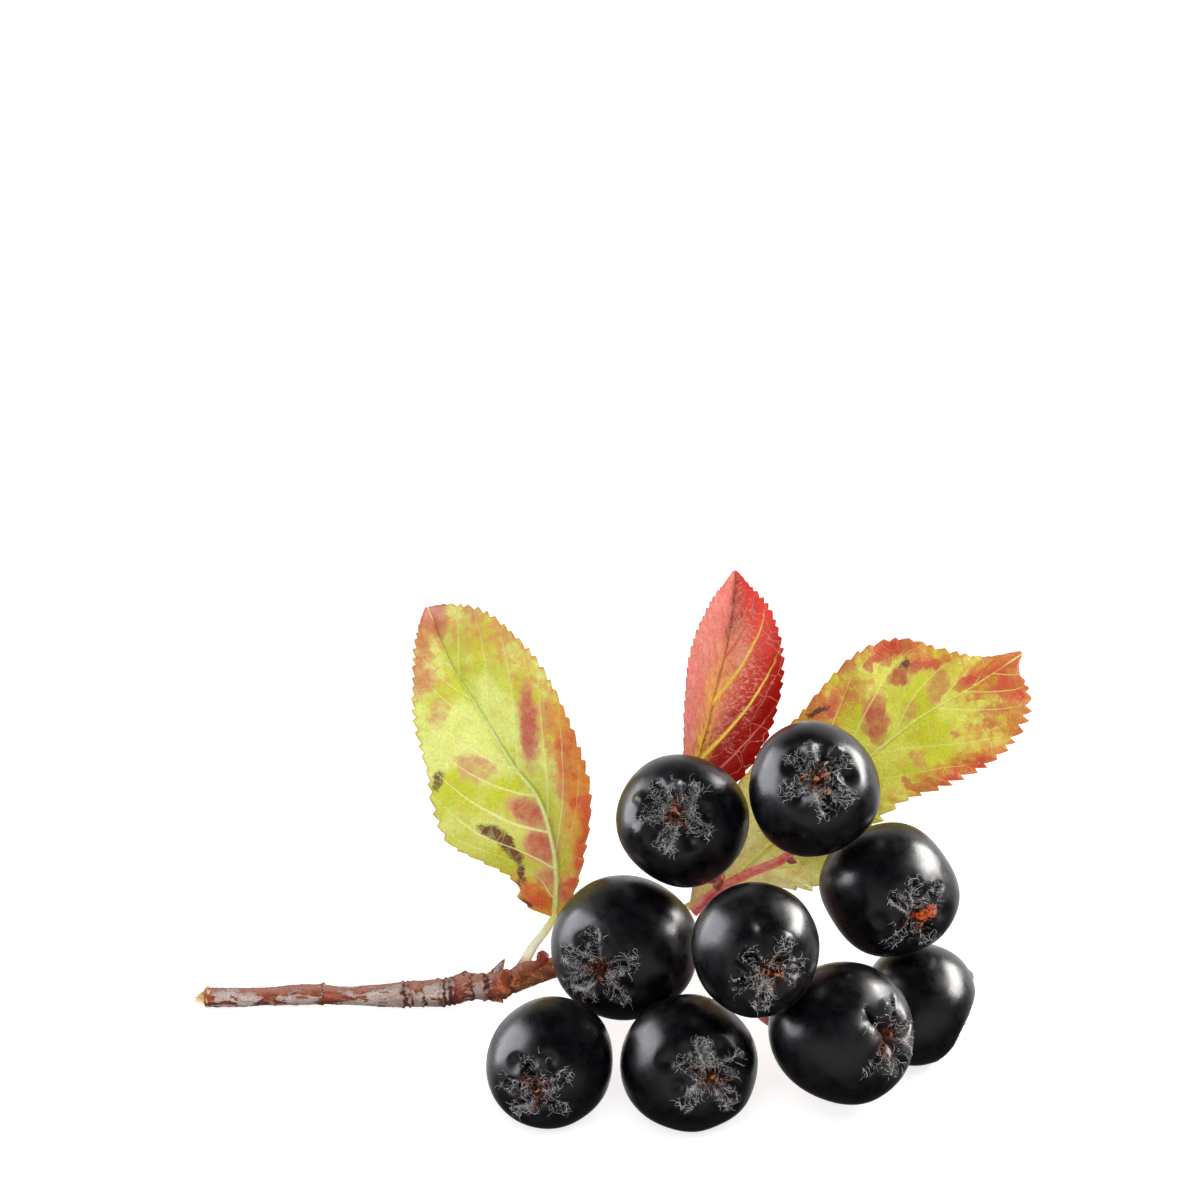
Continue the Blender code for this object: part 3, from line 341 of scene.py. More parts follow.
TOOTH_POINT, TOOTH_UNEVEN = 0.68, 0.28
HALF_COLUMNS = 40
FULL_BULGE_WIDTH = 6.0
VEIN_SINK = 0.07                    # depth of the fine groove over a side vein
QUILT_RISE, QUILT_REACH = 0.13, 0.9 # how far the blade bulges between two side veins, and how soon
FIELD_SIZE = 0.85


def srgb(red, green, blue):
    """A colour given by its screen values from 0 to 255, as the linear colour that a shader takes."""
    channels = np.array((red, green, blue)) / 255.0
    linear = np.where(channels <= 0.04045, channels / 12.92, ((channels + 0.055) / 1.055) ** 2.4)
    return (*linear.tolist(), 1.0)


def unit(vectors):
    vectors = np.asarray(vectors, dtype=float)
    return vectors / np.maximum(np.linalg.norm(vectors, axis=-1, keepdims=True), 1e-9)


def smooth_step(x):
    x = np.clip(x, 0.0, 1.0)
    return x * x * (3.0 - 2.0 * x)


def bell(x):
    return np.exp(-(x**2))


def fractal(points, size, octaves=4, seed=0.0):
    """Cloudy noise between about -1 and 1 with features of the given size."""
    shift = Vector((seed, 1.7 * seed, -0.6 * seed))
    places = np.asarray(points, dtype=float).reshape(-1, 3) / size
    values = [noise.fractal(Vector(p) + shift, 1.0, 2.0, octaves) for p in places]
    return np.array(values).reshape(np.shape(points)[:-1])


def jostled(points, size, amount, seeds):
    """The points, each moved along the three axes by cloudy noise."""
    return points + amount * np.stack([fractal(points, size, 3, seed) for seed in seeds], axis=-1)


def make_piece(name, points, faces, material, slot, replaced=(), **values):
    """A mesh piece from points of the face frame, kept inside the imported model's box.

    Values are numbers for each point or for each face corner.
    """
    world = np.asarray(points, dtype=float) * MM @ np.array(FACE.to_3x3()).T + np.array(FACE.translation)
    mesh = bpy.data.meshes.new(name)
    mesh.from_pydata(np.clip(world, *CAD_BOX).tolist(), [], [list(face) for face in faces])
    for key, numbers in values.items():
        numbers = np.ravel(numbers).astype(np.float32)
        domain = "POINT" if len(numbers) == len(mesh.vertices) else "CORNER"
        mesh.attributes.new(key, "FLOAT", domain).data.foreach_set("value", numbers)
    mesh.materials.append(material)
    mesh.shade_smooth()
    piece = bpy.data.objects.new(name, mesh)
    bpy.context.collection.objects.link(piece)
    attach(piece, "root")
    if replaced:
        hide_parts(*replaced)


def smooth_curve(points, shares):
    """Points of a centripetal curve through the given points, at shares of its length from 0 to 1."""
    pts = np.array(points, dtype=float)
    knots = np.concatenate(([0.0], np.cumsum(np.sqrt(np.linalg.norm(np.diff(pts, axis=0), axis=1)))))
    slopes = np.gradient(pts, knots, axis=0)
    fine = np.linspace(0.0, knots[-1], CURVE_SAMPLES)
    left = np.clip(np.searchsorted(knots, fine, side="right") - 1, 0, len(knots) - 2)
    span = (knots[left + 1] - knots[left])[:, None]
    t = (fine - knots[left])[:, None] / span
    start = pts[left] * (2 * t**3 - 3 * t**2 + 1) + slopes[left] * span * (t**3 - 2 * t**2 + t)
    curve = start + pts[left + 1] * (3 * t**2 - 2 * t**3) + slopes[left + 1] * span * (t**3 - t**2)
    steps = np.linalg.norm(np.diff(curve, axis=0), axis=1)
    travel = np.concatenate(([0.0], np.cumsum(steps))) / steps.sum()
    return np.stack([np.interp(shares, travel, curve[:, k]) for k in range(pts.shape[1])], axis=1)


def thick_curve(route, shares):
    """The axis and the radii of a curve through (point, radius) pairs."""
    curve = smooth_curve([(*point, radius) for point, radius in route], shares)
    return curve[:, :3], curve[:, 3]


def straight(start, end, count):
    """The given number of points from start to end, and their shares of the way."""
    shares = np.linspace(0.0, 1.0, count)
    start = np.array(start)
    return start + (np.array(end) - start) * shares[:, None], shares


def grid_faces(rows, columns, first=0, closed=True):
    """Quads of a grid of points, row after row. A closed grid joins its last column to its first."""
    across = columns if closed else columns - 1
    row, column = np.meshgrid(np.arange(rows - 1), np.arange(across), indexing="ij")
    low = first + row * columns + column
    low_after = first + row * columns + (column + 1) % columns
    return np.stack((low, low + columns, low_after + columns, low_after), axis=-1).reshape(-1, 4)


def tube(axis, radii, sides):
    """Points, in rows of rings, and faces of a closed tube. Radii go by ring, or by ring and point."""
    tangents = unit(np.gradient(axis, axis=0))
    guide = (0.0, 0.0, 1.0) if abs(tangents[0][2]) < 0.8 else (0.0, 1.0, 0.0)
    side = np.cross(guide, tangents[0])
    first = []
    for tangent in tangents:
        side = unit(side - tangent * np.dot(side, tangent))
        first.append(side)
    first = np.array(first)
    second = np.cross(tangents, first)
    turns = np.linspace(0.0, TURN, sides, endpoint=False)
    radii = np.broadcast_to(np.reshape(radii, (len(axis), -1)), (len(axis), sides))
    ring = first[:, None] * np.cos(turns)[None, :, None] + second[:, None] * np.sin(turns)[None, :, None]
    last = len(axis) * sides
    faces = grid_faces(len(axis), sides)[:, ::-1].tolist()
    faces += [list(reversed(range(sides))), list(range(last - sides, last))]
    return axis[:, None] + ring * radii[..., None], faces


def strands(paths, radii, sides):
    """Points and faces of many thin tapering tubes at once. One row of paths is one tube's axis."""
    count, steps = paths.shape[:2]
    tangents = unit(np.gradient(paths, axis=1))
    first = unit(np.cross(tangents, (0.31, 0.55, 0.77)))
    second = np.cross(tangents, first)
    turns = np.linspace(0.0, TURN, sides, endpoint=False)
    taper = np.clip(1.25 - np.linspace(0.0, 1.0, steps) ** 2, 0.15, 1.0)
    ring = first[:, :, None] * np.cos(turns)[:, None] + second[:, :, None] * np.sin(turns)[:, None]
    points = paths[:, :, None] + ring * (radii[:, None] * taper)[:, :, None, None]
    caps = np.array((np.arange(sides)[::-1], np.arange((steps - 1) * sides, steps * sides)))
    starts = (np.arange(count) * steps * sides)[:, None, None]
    faces = (grid_faces(steps, sides)[:, ::-1] + starts).reshape(-1, 4).tolist()
    faces += (caps + starts).reshape(-1, sides).tolist()
    return points.reshape(-1, 3), faces


def sandwich(front, back):
    """A closed sheet from its two faces, with a strip all round its rim."""
    rows, columns = front.shape[:2]
    count = rows * columns
    top = grid_faces(rows, columns, 0, closed=False)[:, ::-1]
    bottom = grid_faces(rows, columns, count, closed=False)
    rim = np.concatenate((np.arange(columns), np.arange(2 * columns - 1, count, columns),
                          np.arange(count - 2, count - columns - 1, -1),
                          np.arange(count - 2 * columns, 0, -columns)))
    after = np.roll(rim, -1)
    strip = np.stack((rim, rim + count, after + count, after), axis=1)
    points = np.concatenate((front.reshape(-1, 3), back.reshape(-1, 3)))
    return points, np.concatenate((top, bottom, strip)).tolist()


def join(parts):
    """One list of points and one of faces from several."""
    points = []
    faces = []
    first = 0
    for part_points, part_faces in parts:
        points.append(np.reshape(part_points, (-1, 3)))
        faces += [[first + index for index in face] for face in part_faces]
        first += len(points[-1])
    return np.concatenate(points), faces


def add_node(tree, kind, output, inputs=(), **settings):
    """An output's value of a new node. Inputs go by number, or by name in a dictionary."""
    made = tree.nodes.new(kind)
    for key, value in settings.items():
        setattr(made, key, value)
    for key, value in inputs.items() if isinstance(inputs, dict) else enumerate(inputs):
        feed(tree, made.inputs[key], value)
    return Value(tree, made.outputs[output])


def feed(tree, socket, value):
    """Link a value to the input, or set the input to a plain number or colour."""
    if isinstance(value, Value):
        tree.links.new(value.socket, socket)
    else:
        socket.default_value = value


class Value:
    """A number or colour that the nodes of a tree work out. Arithmetic with it adds Math nodes."""

    def __init__(self, tree, socket):
        self.tree = tree
        self.socket = socket

    def math(self, operation, other=0.0):
        return add_node(self.tree, "ShaderNodeMath", 0, (self, other), operation=operation)

    def __add__(self, other):
        return self.math("ADD", other)

    def __sub__(self, other):
        return self.math("SUBTRACT", other)

    def __mul__(self, other):
        return self.math("MULTIPLY", other)

    def __truediv__(self, other):
        return self.math("DIVIDE", other)

    def left_over(self):
        """What it lacks to 1."""
        return self * -1.0 + 1.0

    def rise(self, start, end, low=0.0, high=1.0):
        """Smoothly from low where the value is start to high where it is end."""
        inputs = (self, start, end, low, high)
        return add_node(self.tree, "ShaderNodeMapRange", 0, inputs, interpolation_type="SMOOTHSTEP")


class Look:
    """A material with one Principled shader."""

    def __init__(self, name):
        self.material = bpy.data.materials.new(name)
        self.material.use_nodes = True
        self.tree = self.material.node_tree
        self.shader = self.tree.nodes["Principled BSDF"]

    def value(self, name):
        """The mesh's own numbers of that name."""
        return add_node(self.tree, "ShaderNodeAttribute", "Fac", attribute_name=name)

    def place(self, *stretch):
        """The surface point in millimetres, stretched along the axes."""
        where = add_node(self.tree, "ShaderNodeTexCoord", "Object")
        factors = tuple(factor / MM for factor in stretch or (1.0, 1.0, 1.0))
        return add_node(self.tree, "ShaderNodeVectorMath", 0, (where, factors), operation="MULTIPLY")

    def clouds(self, size, detail=4.0, rough=0.55, shift=0.0, where=None):
        """Noise from 0 to 1 with features of the given size in millimetres."""
        inputs = {"Vector": where or self.place(), "Scale": 1.0 / size, "Detail": detail, "Roughness": rough,
                  "W": shift}
        return add_node(self.tree, "ShaderNodeTexNoise", "Fac", inputs, noise_dimensions="4D")

    def cells(self, size, feature="DISTANCE_TO_EDGE", where=None, output="Distance"):
        """Many-sided cells of the given size in millimetres."""
        inputs = {"Vector": where or self.place(), "Scale": 1.0 / size}
        return add_node(self.tree, "ShaderNodeTexVoronoi", output, inputs, feature=feature)

    def layers(self, colour, *layers):
        """A colour with others laid over it. Each layer is a share, a colour and perhaps a blend mode."""
        for share, over, *mode in layers:
            pair = [srgb(*paint) if isinstance(paint, tuple) else paint for paint in (colour, over)]
            colour = add_node(self.tree, "ShaderNodeMix", 2, {0: share, 6: pair[0], 7: pair[1]},
                              data_type="RGBA", blend_type=mode[0] if mode else "MIX")
        return colour

    def finish(self, colour, roughness, specular=0.5, height=None, depth=0.0):
        """The material, with a relief of a height from 0 to 1 that stands for the depth in millimetres."""
        self.shader.inputs["Specular IOR Level"].default_value = specular
        feed(self.tree, self.shader.inputs["Base Color"], colour)
        feed(self.tree, self.shader.inputs["Roughness"], roughness)
        if height:
            inputs = {"Strength": 1.0, "Distance": depth * MM, "Height": height}
            feed(self.tree, self.shader.inputs["Normal"], add_node(self.tree, "ShaderNodeBump", 0, inputs))
        return self.material


def skin_material():
    look = Look("berry_skin")
    mottle = look.clouds(1.6, 5.0)
    calyx, felt_and_sheen = look.value("calyx"), look.value("felt_and_sheen")
    fibres = look.clouds(0.16, 4.0, 0.7).rise(0.34, 0.66, 0.25, 1.0)
    # The felt layer is grey hair on the ridges and also a painted grey sheen along them.
    colour = look.layers((4, 3, 5), (mottle.rise(0.35, 0.75), (17, 13, 18)),
                         (look.value("stem").rise(0.35, 1.0), (70, 28, 22)), (calyx, (38, 20, 15)),
                         (felt_and_sheen * fibres * 0.8, (140, 139, 143)))
    rough = mottle.rise(0.3, 0.7, 0.24, 0.38) + calyx * 0.3 + felt_and_sheen.rise(0.0, 0.4, 0.0, 0.18)
    rough = rough + look.value("near") * 0.10
    pits = look.cells(0.7, "F1").rise(0.03, 0.18, -0.12, 0.0)
    height = look.clouds(0.16, 3.0) * 0.35 + look.clouds(0.55, 4.0, 0.6, 2.0) + pits
    return look.finish(colour, rough, 0.45, height, 0.014)


def wool_material():
    look = Look("wool")
    colour = look.layers((150, 149, 152), (look.value("tint"), (255, 253, 252)),
                         (look.clouds(0.7).rise(0.45, 0.8), (190, 178, 165)))
    return look.finish(colour, 0.6)


def filament_material():
    """Brown for the threads, of a tint up to 1, and orange for the flap of tint 2."""
    look = Look("dried_flower")
    tint = look.value("tint")
    orange = look.layers((186, 78, 20), (look.clouds(0.3).rise(0.42, 0.62), (96, 30, 8)))
    colour = look.layers(
        (92, 42, 26), (tint.rise(0.0, 0.5), (150, 78, 50)), (tint.rise(0.5, 1.0), (176, 114, 72)),
        (look.clouds(0.35).rise(0.4, 0.75, 0.0, 0.8), (110, 46, 24)), (tint.rise(1.0, 2.0), orange))
    return look.finish(colour, 0.6, 0.15, look.clouds(0.1), 0.02)


def leaf_lines(look, left_veins, right_veins, wide):
    """How far the surface point is inside the midrib, a side vein and the fine net, each from 0 to 1.

    The last value is its distance from the midrib's line, in half widths of the midrib.
    """
    side = look.value("side")
    away = side.math("ABSOLUTE")
    phase = look.value("phase") + (look.clouds(2.2, 2.0) - 0.5) * 0.10
    distance = phase.math("PINGPONG", 0.5) * look.value("spacing")
    vein = (distance / away.rise(0.0, 0.95, 0.26 * wide, 0.11 * wide)).rise(0.25, 1.0).left_over()
    vein = vein * away.rise(0.70, 0.97, 1.0, 0.15) * side.rise(-0.01, 0.01, left_veins, right_veins)
    rib_width = look.value("along").rise(0.0, 1.0, 0.46, 0.12)
    from_rib = (look.value("middle") / rib_width).math("MAXIMUM", away * 3.5)
    fine = look.cells(0.55).rise(0.0, 0.09, 1.0, 0.0) * 0.45
    net = look.cells(1.5).rise(0.0, 0.055, 1.0, 0.0).math("MAXIMUM", fine)
    return from_rib.rise(0.35, 1.0).left_over(), vein, net, from_rib


def leaf_material(name):
    """Greens or reds in clouds, blotches that stop at the fine net, a coloured margin and pale veins."""
    leaf = LEAVES[name]
    paint = leaf["colours"]
    look = Look(name)
    rib, vein, net, from_rib = leaf_lines(look, *leaf["vein_looks"])
    area, along, dark = (look.value(key) for key in ("orange", "along", "dark"))
    patchy = look.clouds(1.6, 5.0, 0.65, 2.0)
    speckle = look.clouds(0.30, 3.0, 0.75, 3.0)
    ragged = (patchy - 0.5) * 0.9 + (look.cells(0.9, "F1") - 0.45) * 0.35 + (speckle - 0.5) * 1.25
    islands = look.clouds(1.9, 3.0, 0.6, 5.0).rise(0.50, 0.66)
    red = look.value("red") + ragged + islands * area * 0.65
    margin = look.value("edge") - ragged * 0.5
    dark = dark + ragged * dark.rise(0.0, 0.3, 0.0, 1.2)
    colour = look.layers(
        paint["light"],
        (look.clouds(5.0, 4.0, shift=1.0).rise(0.40, 0.62), paint["deep"]),
        # For leaf_right the foot colour is pale: painted light where the berries shade the blade.
        (along.rise(*leaf["foot_reach"], 0.0, 0.75), paint["foot"]),
        (patchy.rise(0.50, 0.78, 0.0, 0.6), paint["warm"]),
        ((area + ragged * 1.1).rise(0.1, 1.0, 0.0, 0.9), paint["orange"]),
        (red.rise(0.12, 0.55, 0.0, 0.85), look.layers(paint["pink"], (area, paint["orange"]))),
        (red.rise(0.40, 1.20), look.layers(paint["red"], (area, paint["ember"]))),
        (along.rise(0.90, 0.985, 0.0, 0.75), paint["tip"]),
        (margin.rise(-0.05, 0.40, 0.65, 0.0), paint["edge"]),
        (dark.rise(0.18, 0.80, 0.0, 0.94), paint["dark"]),
        (net * red.rise(0.0, 0.5, 0.26, 0.10), paint["net"]))
    lines = paint["vein"]
    if name == "leaf_middle":
        colour = middle_leaf_shade(look, colour, patchy, paint)
        lines = middle_leaf_lines(look, rib, paint)
    # A painted shadow in a strip along the right side of the midrib.
    groove = from_rib.rise(0.8, 2.2).left_over() * look.value("side").rise(-0.01, 0.01) * 0.6
    fine = look.clouds(0.11, 2.0, 0.6, 4.0)
    grain = fine.rise(0.30, 0.70, 0.91, 1.07) * speckle.rise(0.25, 0.75, 0.86, 1.12)
    stalk = look.layers((184, 92, 72), (along.rise(0.16, 0.40), (255, 253, 216)),
                        (along.rise(0.6, 1.0), (232, 230, 120)))
    colour = look.layers(colour, (groove, paint["groove"]), ((rib * 0.9).math("MAXIMUM", vein), lines),
                         (1.0, grain, "MULTIPLY"), (look.value("stalk"), stalk))
    height = speckle * 0.35 - net.math("MAXIMUM", vein) * 0.6
    return look.finish(colour, patchy.rise(0.2, 0.8, 0.46, 0.62), leaf["specular"], height, 0.06)


def middle_leaf_shade(look, colour, patchy, paint):
    """The folded red leaf: a pink left half, paler in part as painted sheen and with pale painted sheen
    streaks, a red right half, partly painted shade, yellow by its rib, a pale hatch and a dark red margin.
    """
    side, along = look.value("side"), look.value("along")
    right = side + (patchy - 0.5) * 0.9
    deep = right * 0.65 - along * 2.0 + 1.0
    lengthwise = look.clouds(0.5, 4.0, 0.65, 7.0, look.place(1.0, 1.0, 0.3))
    near_rib = look.value("middle").rise(2.4, 0.3) * along.rise(0.74, 0.48)
    hatch = look.clouds(0.30, 5.0, 0.75, 6.0, look.place(0.28, 1.0, 1.0)).rise(0.50, 0.62, 0.0, 0.85)
    middle = side.rise(-0.3, 0.15) * side.rise(0.85, 0.45)
    moved = add_node(look.tree, "ShaderNodeTexNoise", "Color", {"Vector": look.place(), "Scale": 1.0 / 1.4})
    moved = add_node(look.tree, "ShaderNodeVectorMath", 0, (moved, (0.9, 0.9, 0.9)), operation="MULTIPLY")
    bent = add_node(look.tree, "ShaderNodeVectorMath", 0, (look.place(), moved), operation="ADD")
    loops = look.cells(2.7, where=bent).rise(0.003, 0.020, 0.55, 0.0) * side.rise(0.02, 0.12)
    return look.layers(
        colour,
        # The red right half and the pale left half are partly the leaf's own colours, partly painted shade and
        # painted sheen.
        (right.rise(0.25, 0.60, 0.0, 0.85), (236, 66, 56)),
        (deep.rise(0.10, 0.85), paint["red"]),
        (right.rise(-0.45, 0.05, 0.9, 0.0), paint["light"]),
        # Pale lengthwise streaks on the left half: painted sheen.
        (lengthwise.rise(0.45, 0.70, 0.0, 0.55) * side.rise(0.1, -0.1), paint["net"]),
        (near_rib * lengthwise.rise(0.38, 0.60, 0.0, 0.75), paint["vein"]),
        (hatch * middle * along.rise(0.15, 0.45), paint["net"]),
        (loops, (244, 150, 126)))


def middle_leaf_lines(look, rib, paint):
    """Yellow for two side veins of the red leaf and the foot of its midrib, and pink for the others."""
    phase, along = look.value("phase"), look.value("along")
    strong = phase.rise(0.4, 0.6) * phase.rise(2.6, 2.4) * along.rise(0.85, 0.6)
    yellow = look.layers(strong, (rib, along.rise(0.5, 0.3)))
    return look.layers((228, 118, 104), (yellow, paint["vein"]))


def bark_material():
    """Red-brown bark under a torn grey film, and reddish young wood with pale pores."""
    look = Look("bark")
    streaks = look.clouds(0.45, 5.0, 0.65, 1.0, look.place(0.35, 1.0, 1.0))
    broad = look.clouds(1.8, 4.0, 0.6, 2.0, look.place(0.35, 1.0, 1.0))
    fine = look.clouds(0.14, 4.0, 0.6, 3.0)
    flecks = look.clouds(0.24, 4.0, 0.8, 4.0, look.place(0.6, 1.0, 1.0))
    uneven = flecks - 0.5
    up = look.value("up")
    shreds = look.cells(1.0 / 2.6, "F1", look.place(0.3, 1.0, 1.0), "Color")
    shred = add_node(look.tree, "ShaderNodeSeparateColor", 0, (shreds,))
    film = look.value("film") + (streaks - 0.5) * 0.8 + (shred - 0.5) * 0.45 + uneven * 0.5
    # Less film towards the underside, which darkens it: partly painted shade.
    film = (film - up.rise(0.3, -0.8, -0.07, 0.05)).rise(0.48, 0.53)
    # Old bark is pinker towards the top and darker towards the underside; the darkening is painted shade.
    old = look.layers(
        (126, 52, 32), (streaks.rise(0.35, 0.65), (176, 92, 62)),
        (up.rise(0.1, 0.8, 0.0, 0.6), (200, 146, 126)), (up.rise(0.0, -0.8, 0.0, 0.8), (104, 40, 20)),
        (flecks.rise(0.56, 0.66, 0.0, 0.55), (196, 164, 152)),
        (flecks.rise(0.42, 0.34, 0.0, 0.55), (84, 34, 20)))
    grey = look.layers(
        (156, 134, 124), (broad.rise(0.35, 0.65), (206, 190, 182)),
        (streaks.rise(0.48, 0.70, 0.0, 0.6), (150, 112, 98)),
        (flecks.rise(0.55, 0.63, 0.0, 0.8), (132, 76, 56)))
    pores = look.cells(0.85, "F1", look.place(0.6, 1.0, 1.0)).rise(0.10, 0.22, 1.0, 0.0)
    young = look.layers(
        (104, 50, 28), (streaks.rise(0.35, 0.7), (166, 96, 56)),
        (broad.rise(0.42, 0.70, 0.0, 0.8), (152, 66, 42)), (up.rise(0.3, 0.9, 0.0, 0.7), (200, 128, 100)),
        (flecks.rise(0.55, 0.64, 0.0, 0.75), (216, 160, 92)),
        (flecks.rise(0.43, 0.34, 0.0, 0.7), (76, 32, 18)), (pores * 0.8, (226, 190, 146)))
    scar = look.value("scar") + uneven * 0.6
    # Dark in the ring grooves: partly the bark's own dark scars, partly painted shade in the recess.
    groove = look.value("groove") + uneven * 0.9
    # The last layer darkens the underside: painted shade.
    colour = look.layers(
        old, (film * 0.94, grey), (look.value("young"), young),
        (scar.rise(0.12, 0.32, 0.0, 0.8), (204, 114, 70)), (scar.rise(0.38, 0.64, 0.0, 0.85), (126, 46, 26)),
        (groove.rise(0.20, 0.70), (84, 40, 26)), (1.0, fine.rise(0.25, 0.75, 0.66, 1.22), "MULTIPLY"),
        (1.0, up.rise(-0.1, -0.9, 1.0, 0.55), "MULTIPLY"))
    height = film * 0.5 + fine * 0.4 + flecks * 0.6
    return look.finish(colour, film.rise(0.0, 1.0, 0.70, 0.60), 0.25, height, 0.11)


def stalk_material(name, low, high, blush):
    """A smooth stalk in two mixed colours with blushed patches and fine lengthwise streaks."""
    look = Look(name)
    streaks = look.clouds(0.3, 4.0, 0.6, where=look.place(0.3, 0.5, 1.0))
    patches = look.clouds(1.4, 4.0, shift=2.0).rise(0.45, 0.7)
    colour = look.layers(low, (streaks.rise(0.3, 0.7), high), (patches, blush),
                         (look.value("tint") * 0.9, (110, 34, 24)))
    return look.finish(colour, 0.5, 0.2, streaks, 0.05)


def pith_material():
    look = Look("pith")
    streaks = look.clouds(0.25, 5.0, 0.65, where=look.place(0.3, 1.0, 1.0))
    colour = look.layers((236, 166, 84), (streaks.rise(0.3, 0.65), (255, 236, 178)),
                         (look.value("tint"), (150, 88, 52)))
    return look.finish(colour, 0.8, 0.5, streaks, 0.08)


class Berry(SimpleNamespace):
    """A berry of the table. Theta is the angle from its calyx tip, and phi the turn round its axis."""

    def __init__(self, name):
        super().__init__(name=name, number=int(name[-1]), **BERRIES[name])
        axis = unit(self.facing)
        up = unit(np.array((0.0, 1.0, 0.0)) - axis * axis[1])
        self.turn = np.array((np.cross(up, axis), up, axis))    # its own right, up and way out of the calyx
        self.middle = np.array(self.centre)
        if name in RESTING:
            upward = axis[1] * math.cos(LEAN) + axis[2] * math.sin(LEAN)
            half = self.radius * math.sqrt(1.0 - (1.0 - LENGTH_RATIO**2) * upward**2)
            height = half - SEAT - SPRIG_PLACE[2]
            self.middle[2] = (height - self.centre[1] * math.cos(LEAN)) / math.sin(LEAN)

    def out(self, theta, phi):
        """Distance of the skin from the berry's middle."""
        turns = np.radians(self.clefts)
        reach = theta / math.radians(CALYX_ANGLE)
        wander = CLEFT_WAVE * np.sin(7.0 * theta[..., None] + np.arange(5) * 2.1 + 7.0 * self.number)
        apart = (phi[..., None] - turns + math.pi) % TURN - math.pi + wander
        sideways = self.radius * np.sin(theta) * np.abs(apart).min(axis=-1)
        banks, clefts, lobes, sunk = self.relief
        cleft = CLEFT_DEPTH * bell(sideways / (CLEFT_WIDTH * clefts)) * smooth_step((1.0 - reach) / CLEFT_FADE)
        slit = SLIT_DEPTH * bell(sideways / SLIT_WIDTH) * smooth_step((0.95 - reach) / 0.25)
        bank = BANK_RISE * banks * bell((sideways - BANK_PLACE) / BANK_WIDTH)
        bank = bank * smooth_step(reach / 0.3) * smooth_step((1.02 - reach) / 0.4)
        after = ((phi[..., None] - turns) % TURN).min(axis=-1)
        before = ((turns - phi[..., None]) % TURN).min(axis=-1)
        lobe_share = after / np.maximum(after + before, 1e-6)
        lobe = lobes * LOBE_RISE * np.sin(math.pi * lobe_share) ** 2
        lobe = lobe * bell((reach - LOBE_PLACE) / LOBE_SPREAD)
        pit = PIT_DEPTH * bell(theta / math.radians(PIT_ANGLE))
        stem = STEM_DIMPLE * bell((math.pi - theta) / math.radians(STEM_ANGLE))
        basin = sunk * np.exp(-((reach / BASIN_REACH) ** 4))
        out = self.radius - basin - clefts * (cleft + slit) + bank + lobe - pit - stem
        for turn, distance, deep in self.hollows:
            away = np.hypot(self.beside(theta, phi, turn), self.radius * theta - distance)
            out = out - deep * bell(away / HOLLOW_WIDTH)
        across = np.sin(theta)
        direction = np.stack((across * np.cos(phi), across * np.sin(phi), np.cos(theta)), axis=-1)
        out = out + self.ridged(theta, phi)[0] + SKIN_WAVE * self.waves(direction)
        return out * (1.0 + self.swell(direction @ self.turn))

    def beside(self, theta, phi, turn):
        """How far beside the meridian of a turn in degrees the skin is."""
        return self.radius * np.sin(theta) * ((phi - math.radians(turn) + math.pi) % TURN - math.pi)

    def ridged(self, theta, phi):
        """Height of the ridges round the calyx, and how felted the skin is along them, the felt also a painted
        sheen.
        """
        total = np.zeros((2, *np.shape(theta)))
        arc = self.radius * theta
        for turn, start, end, height, felt_and_sheen_share in self.ridges:
            along = smooth_step(arc - start) * smooth_step(end - arc)
            shape = bell(self.beside(theta, phi, turn) / RIDGE_WIDTH) * along
            total += np.multiply.outer((height, felt_and_sheen_share), shape)
        return total

    def waves(self, direction):
        """The soft unevenness of the skin, from about -1 to 1."""
        rng = np.random.default_rng(7 * self.number)
        total = 0.0
        for _ in range(7):
            wave = rng.normal(size=3) * 3.2
            total = total + np.sin(direction @ wave + rng.uniform(0, 6.3))
        return total / 2.0

    def swell(self, direction):
        """How much wider than a ball the berry looks to the viewer, in a direction of the face frame."""
        turn = np.arctan2(direction[..., 1], direction[..., 0])
        waves = sum(amount * np.cos(count * (turn - math.radians(peak)))
                    for count, amount, peak in self.outline)
        return waves * (direction[..., :2] ** 2).sum(axis=-1)

    def skin(self, theta, phi, lift=0.0):
        """Points of the face frame on the berry's skin, or lifted above it."""
        out = self.out(theta, phi) + lift
        across = out * np.sin(theta)
        local = (across * np.cos(phi), across * np.sin(phi), out * np.cos(theta) * LENGTH_RATIO)
        return self.middle + np.stack(local, axis=-1) @ self.turn

    def lifted(self, points, clearance):
        """The points, and in place of those that lie under the skin points a little above it."""
        local = (points - self.middle) @ self.turn.T / np.array((1.0, 1.0, LENGTH_RATIO))
        out = np.linalg.norm(local, axis=-1)
        theta = np.arccos(np.clip(local[..., 2] / out, -1, 1))
        phi = np.arctan2(local[..., 1], local[..., 0])
        low = out < self.out(theta, phi) + clearance
        return np.where(low[:, None], self.skin(theta, phi, clearance), points)

    def grow(self, roots, heading, lengths, steps, curl, clearance, rng):
        """Curly paths that set out from roots on the berry and never dip under its skin."""
        count = len(roots)
        axis = unit(rng.normal(size=(count, 3)))
        angle = (curl * lengths / steps * rng.uniform(0.5, 1.4, count))[:, None]
        path = [roots]
        for _ in range(steps - 1):
            axis = unit(axis + 0.35 * rng.normal(size=(count, 3)))
            turned = heading * np.cos(angle) + np.cross(axis, heading) * np.sin(angle)
            heading = unit(turned + axis * np.sum(axis * heading, axis=1)[:, None] * (1 - np.cos(angle)))
            path.append(self.lifted(path[-1] + heading * (lengths / steps)[:, None], clearance))
        return np.stack(path, axis=1)


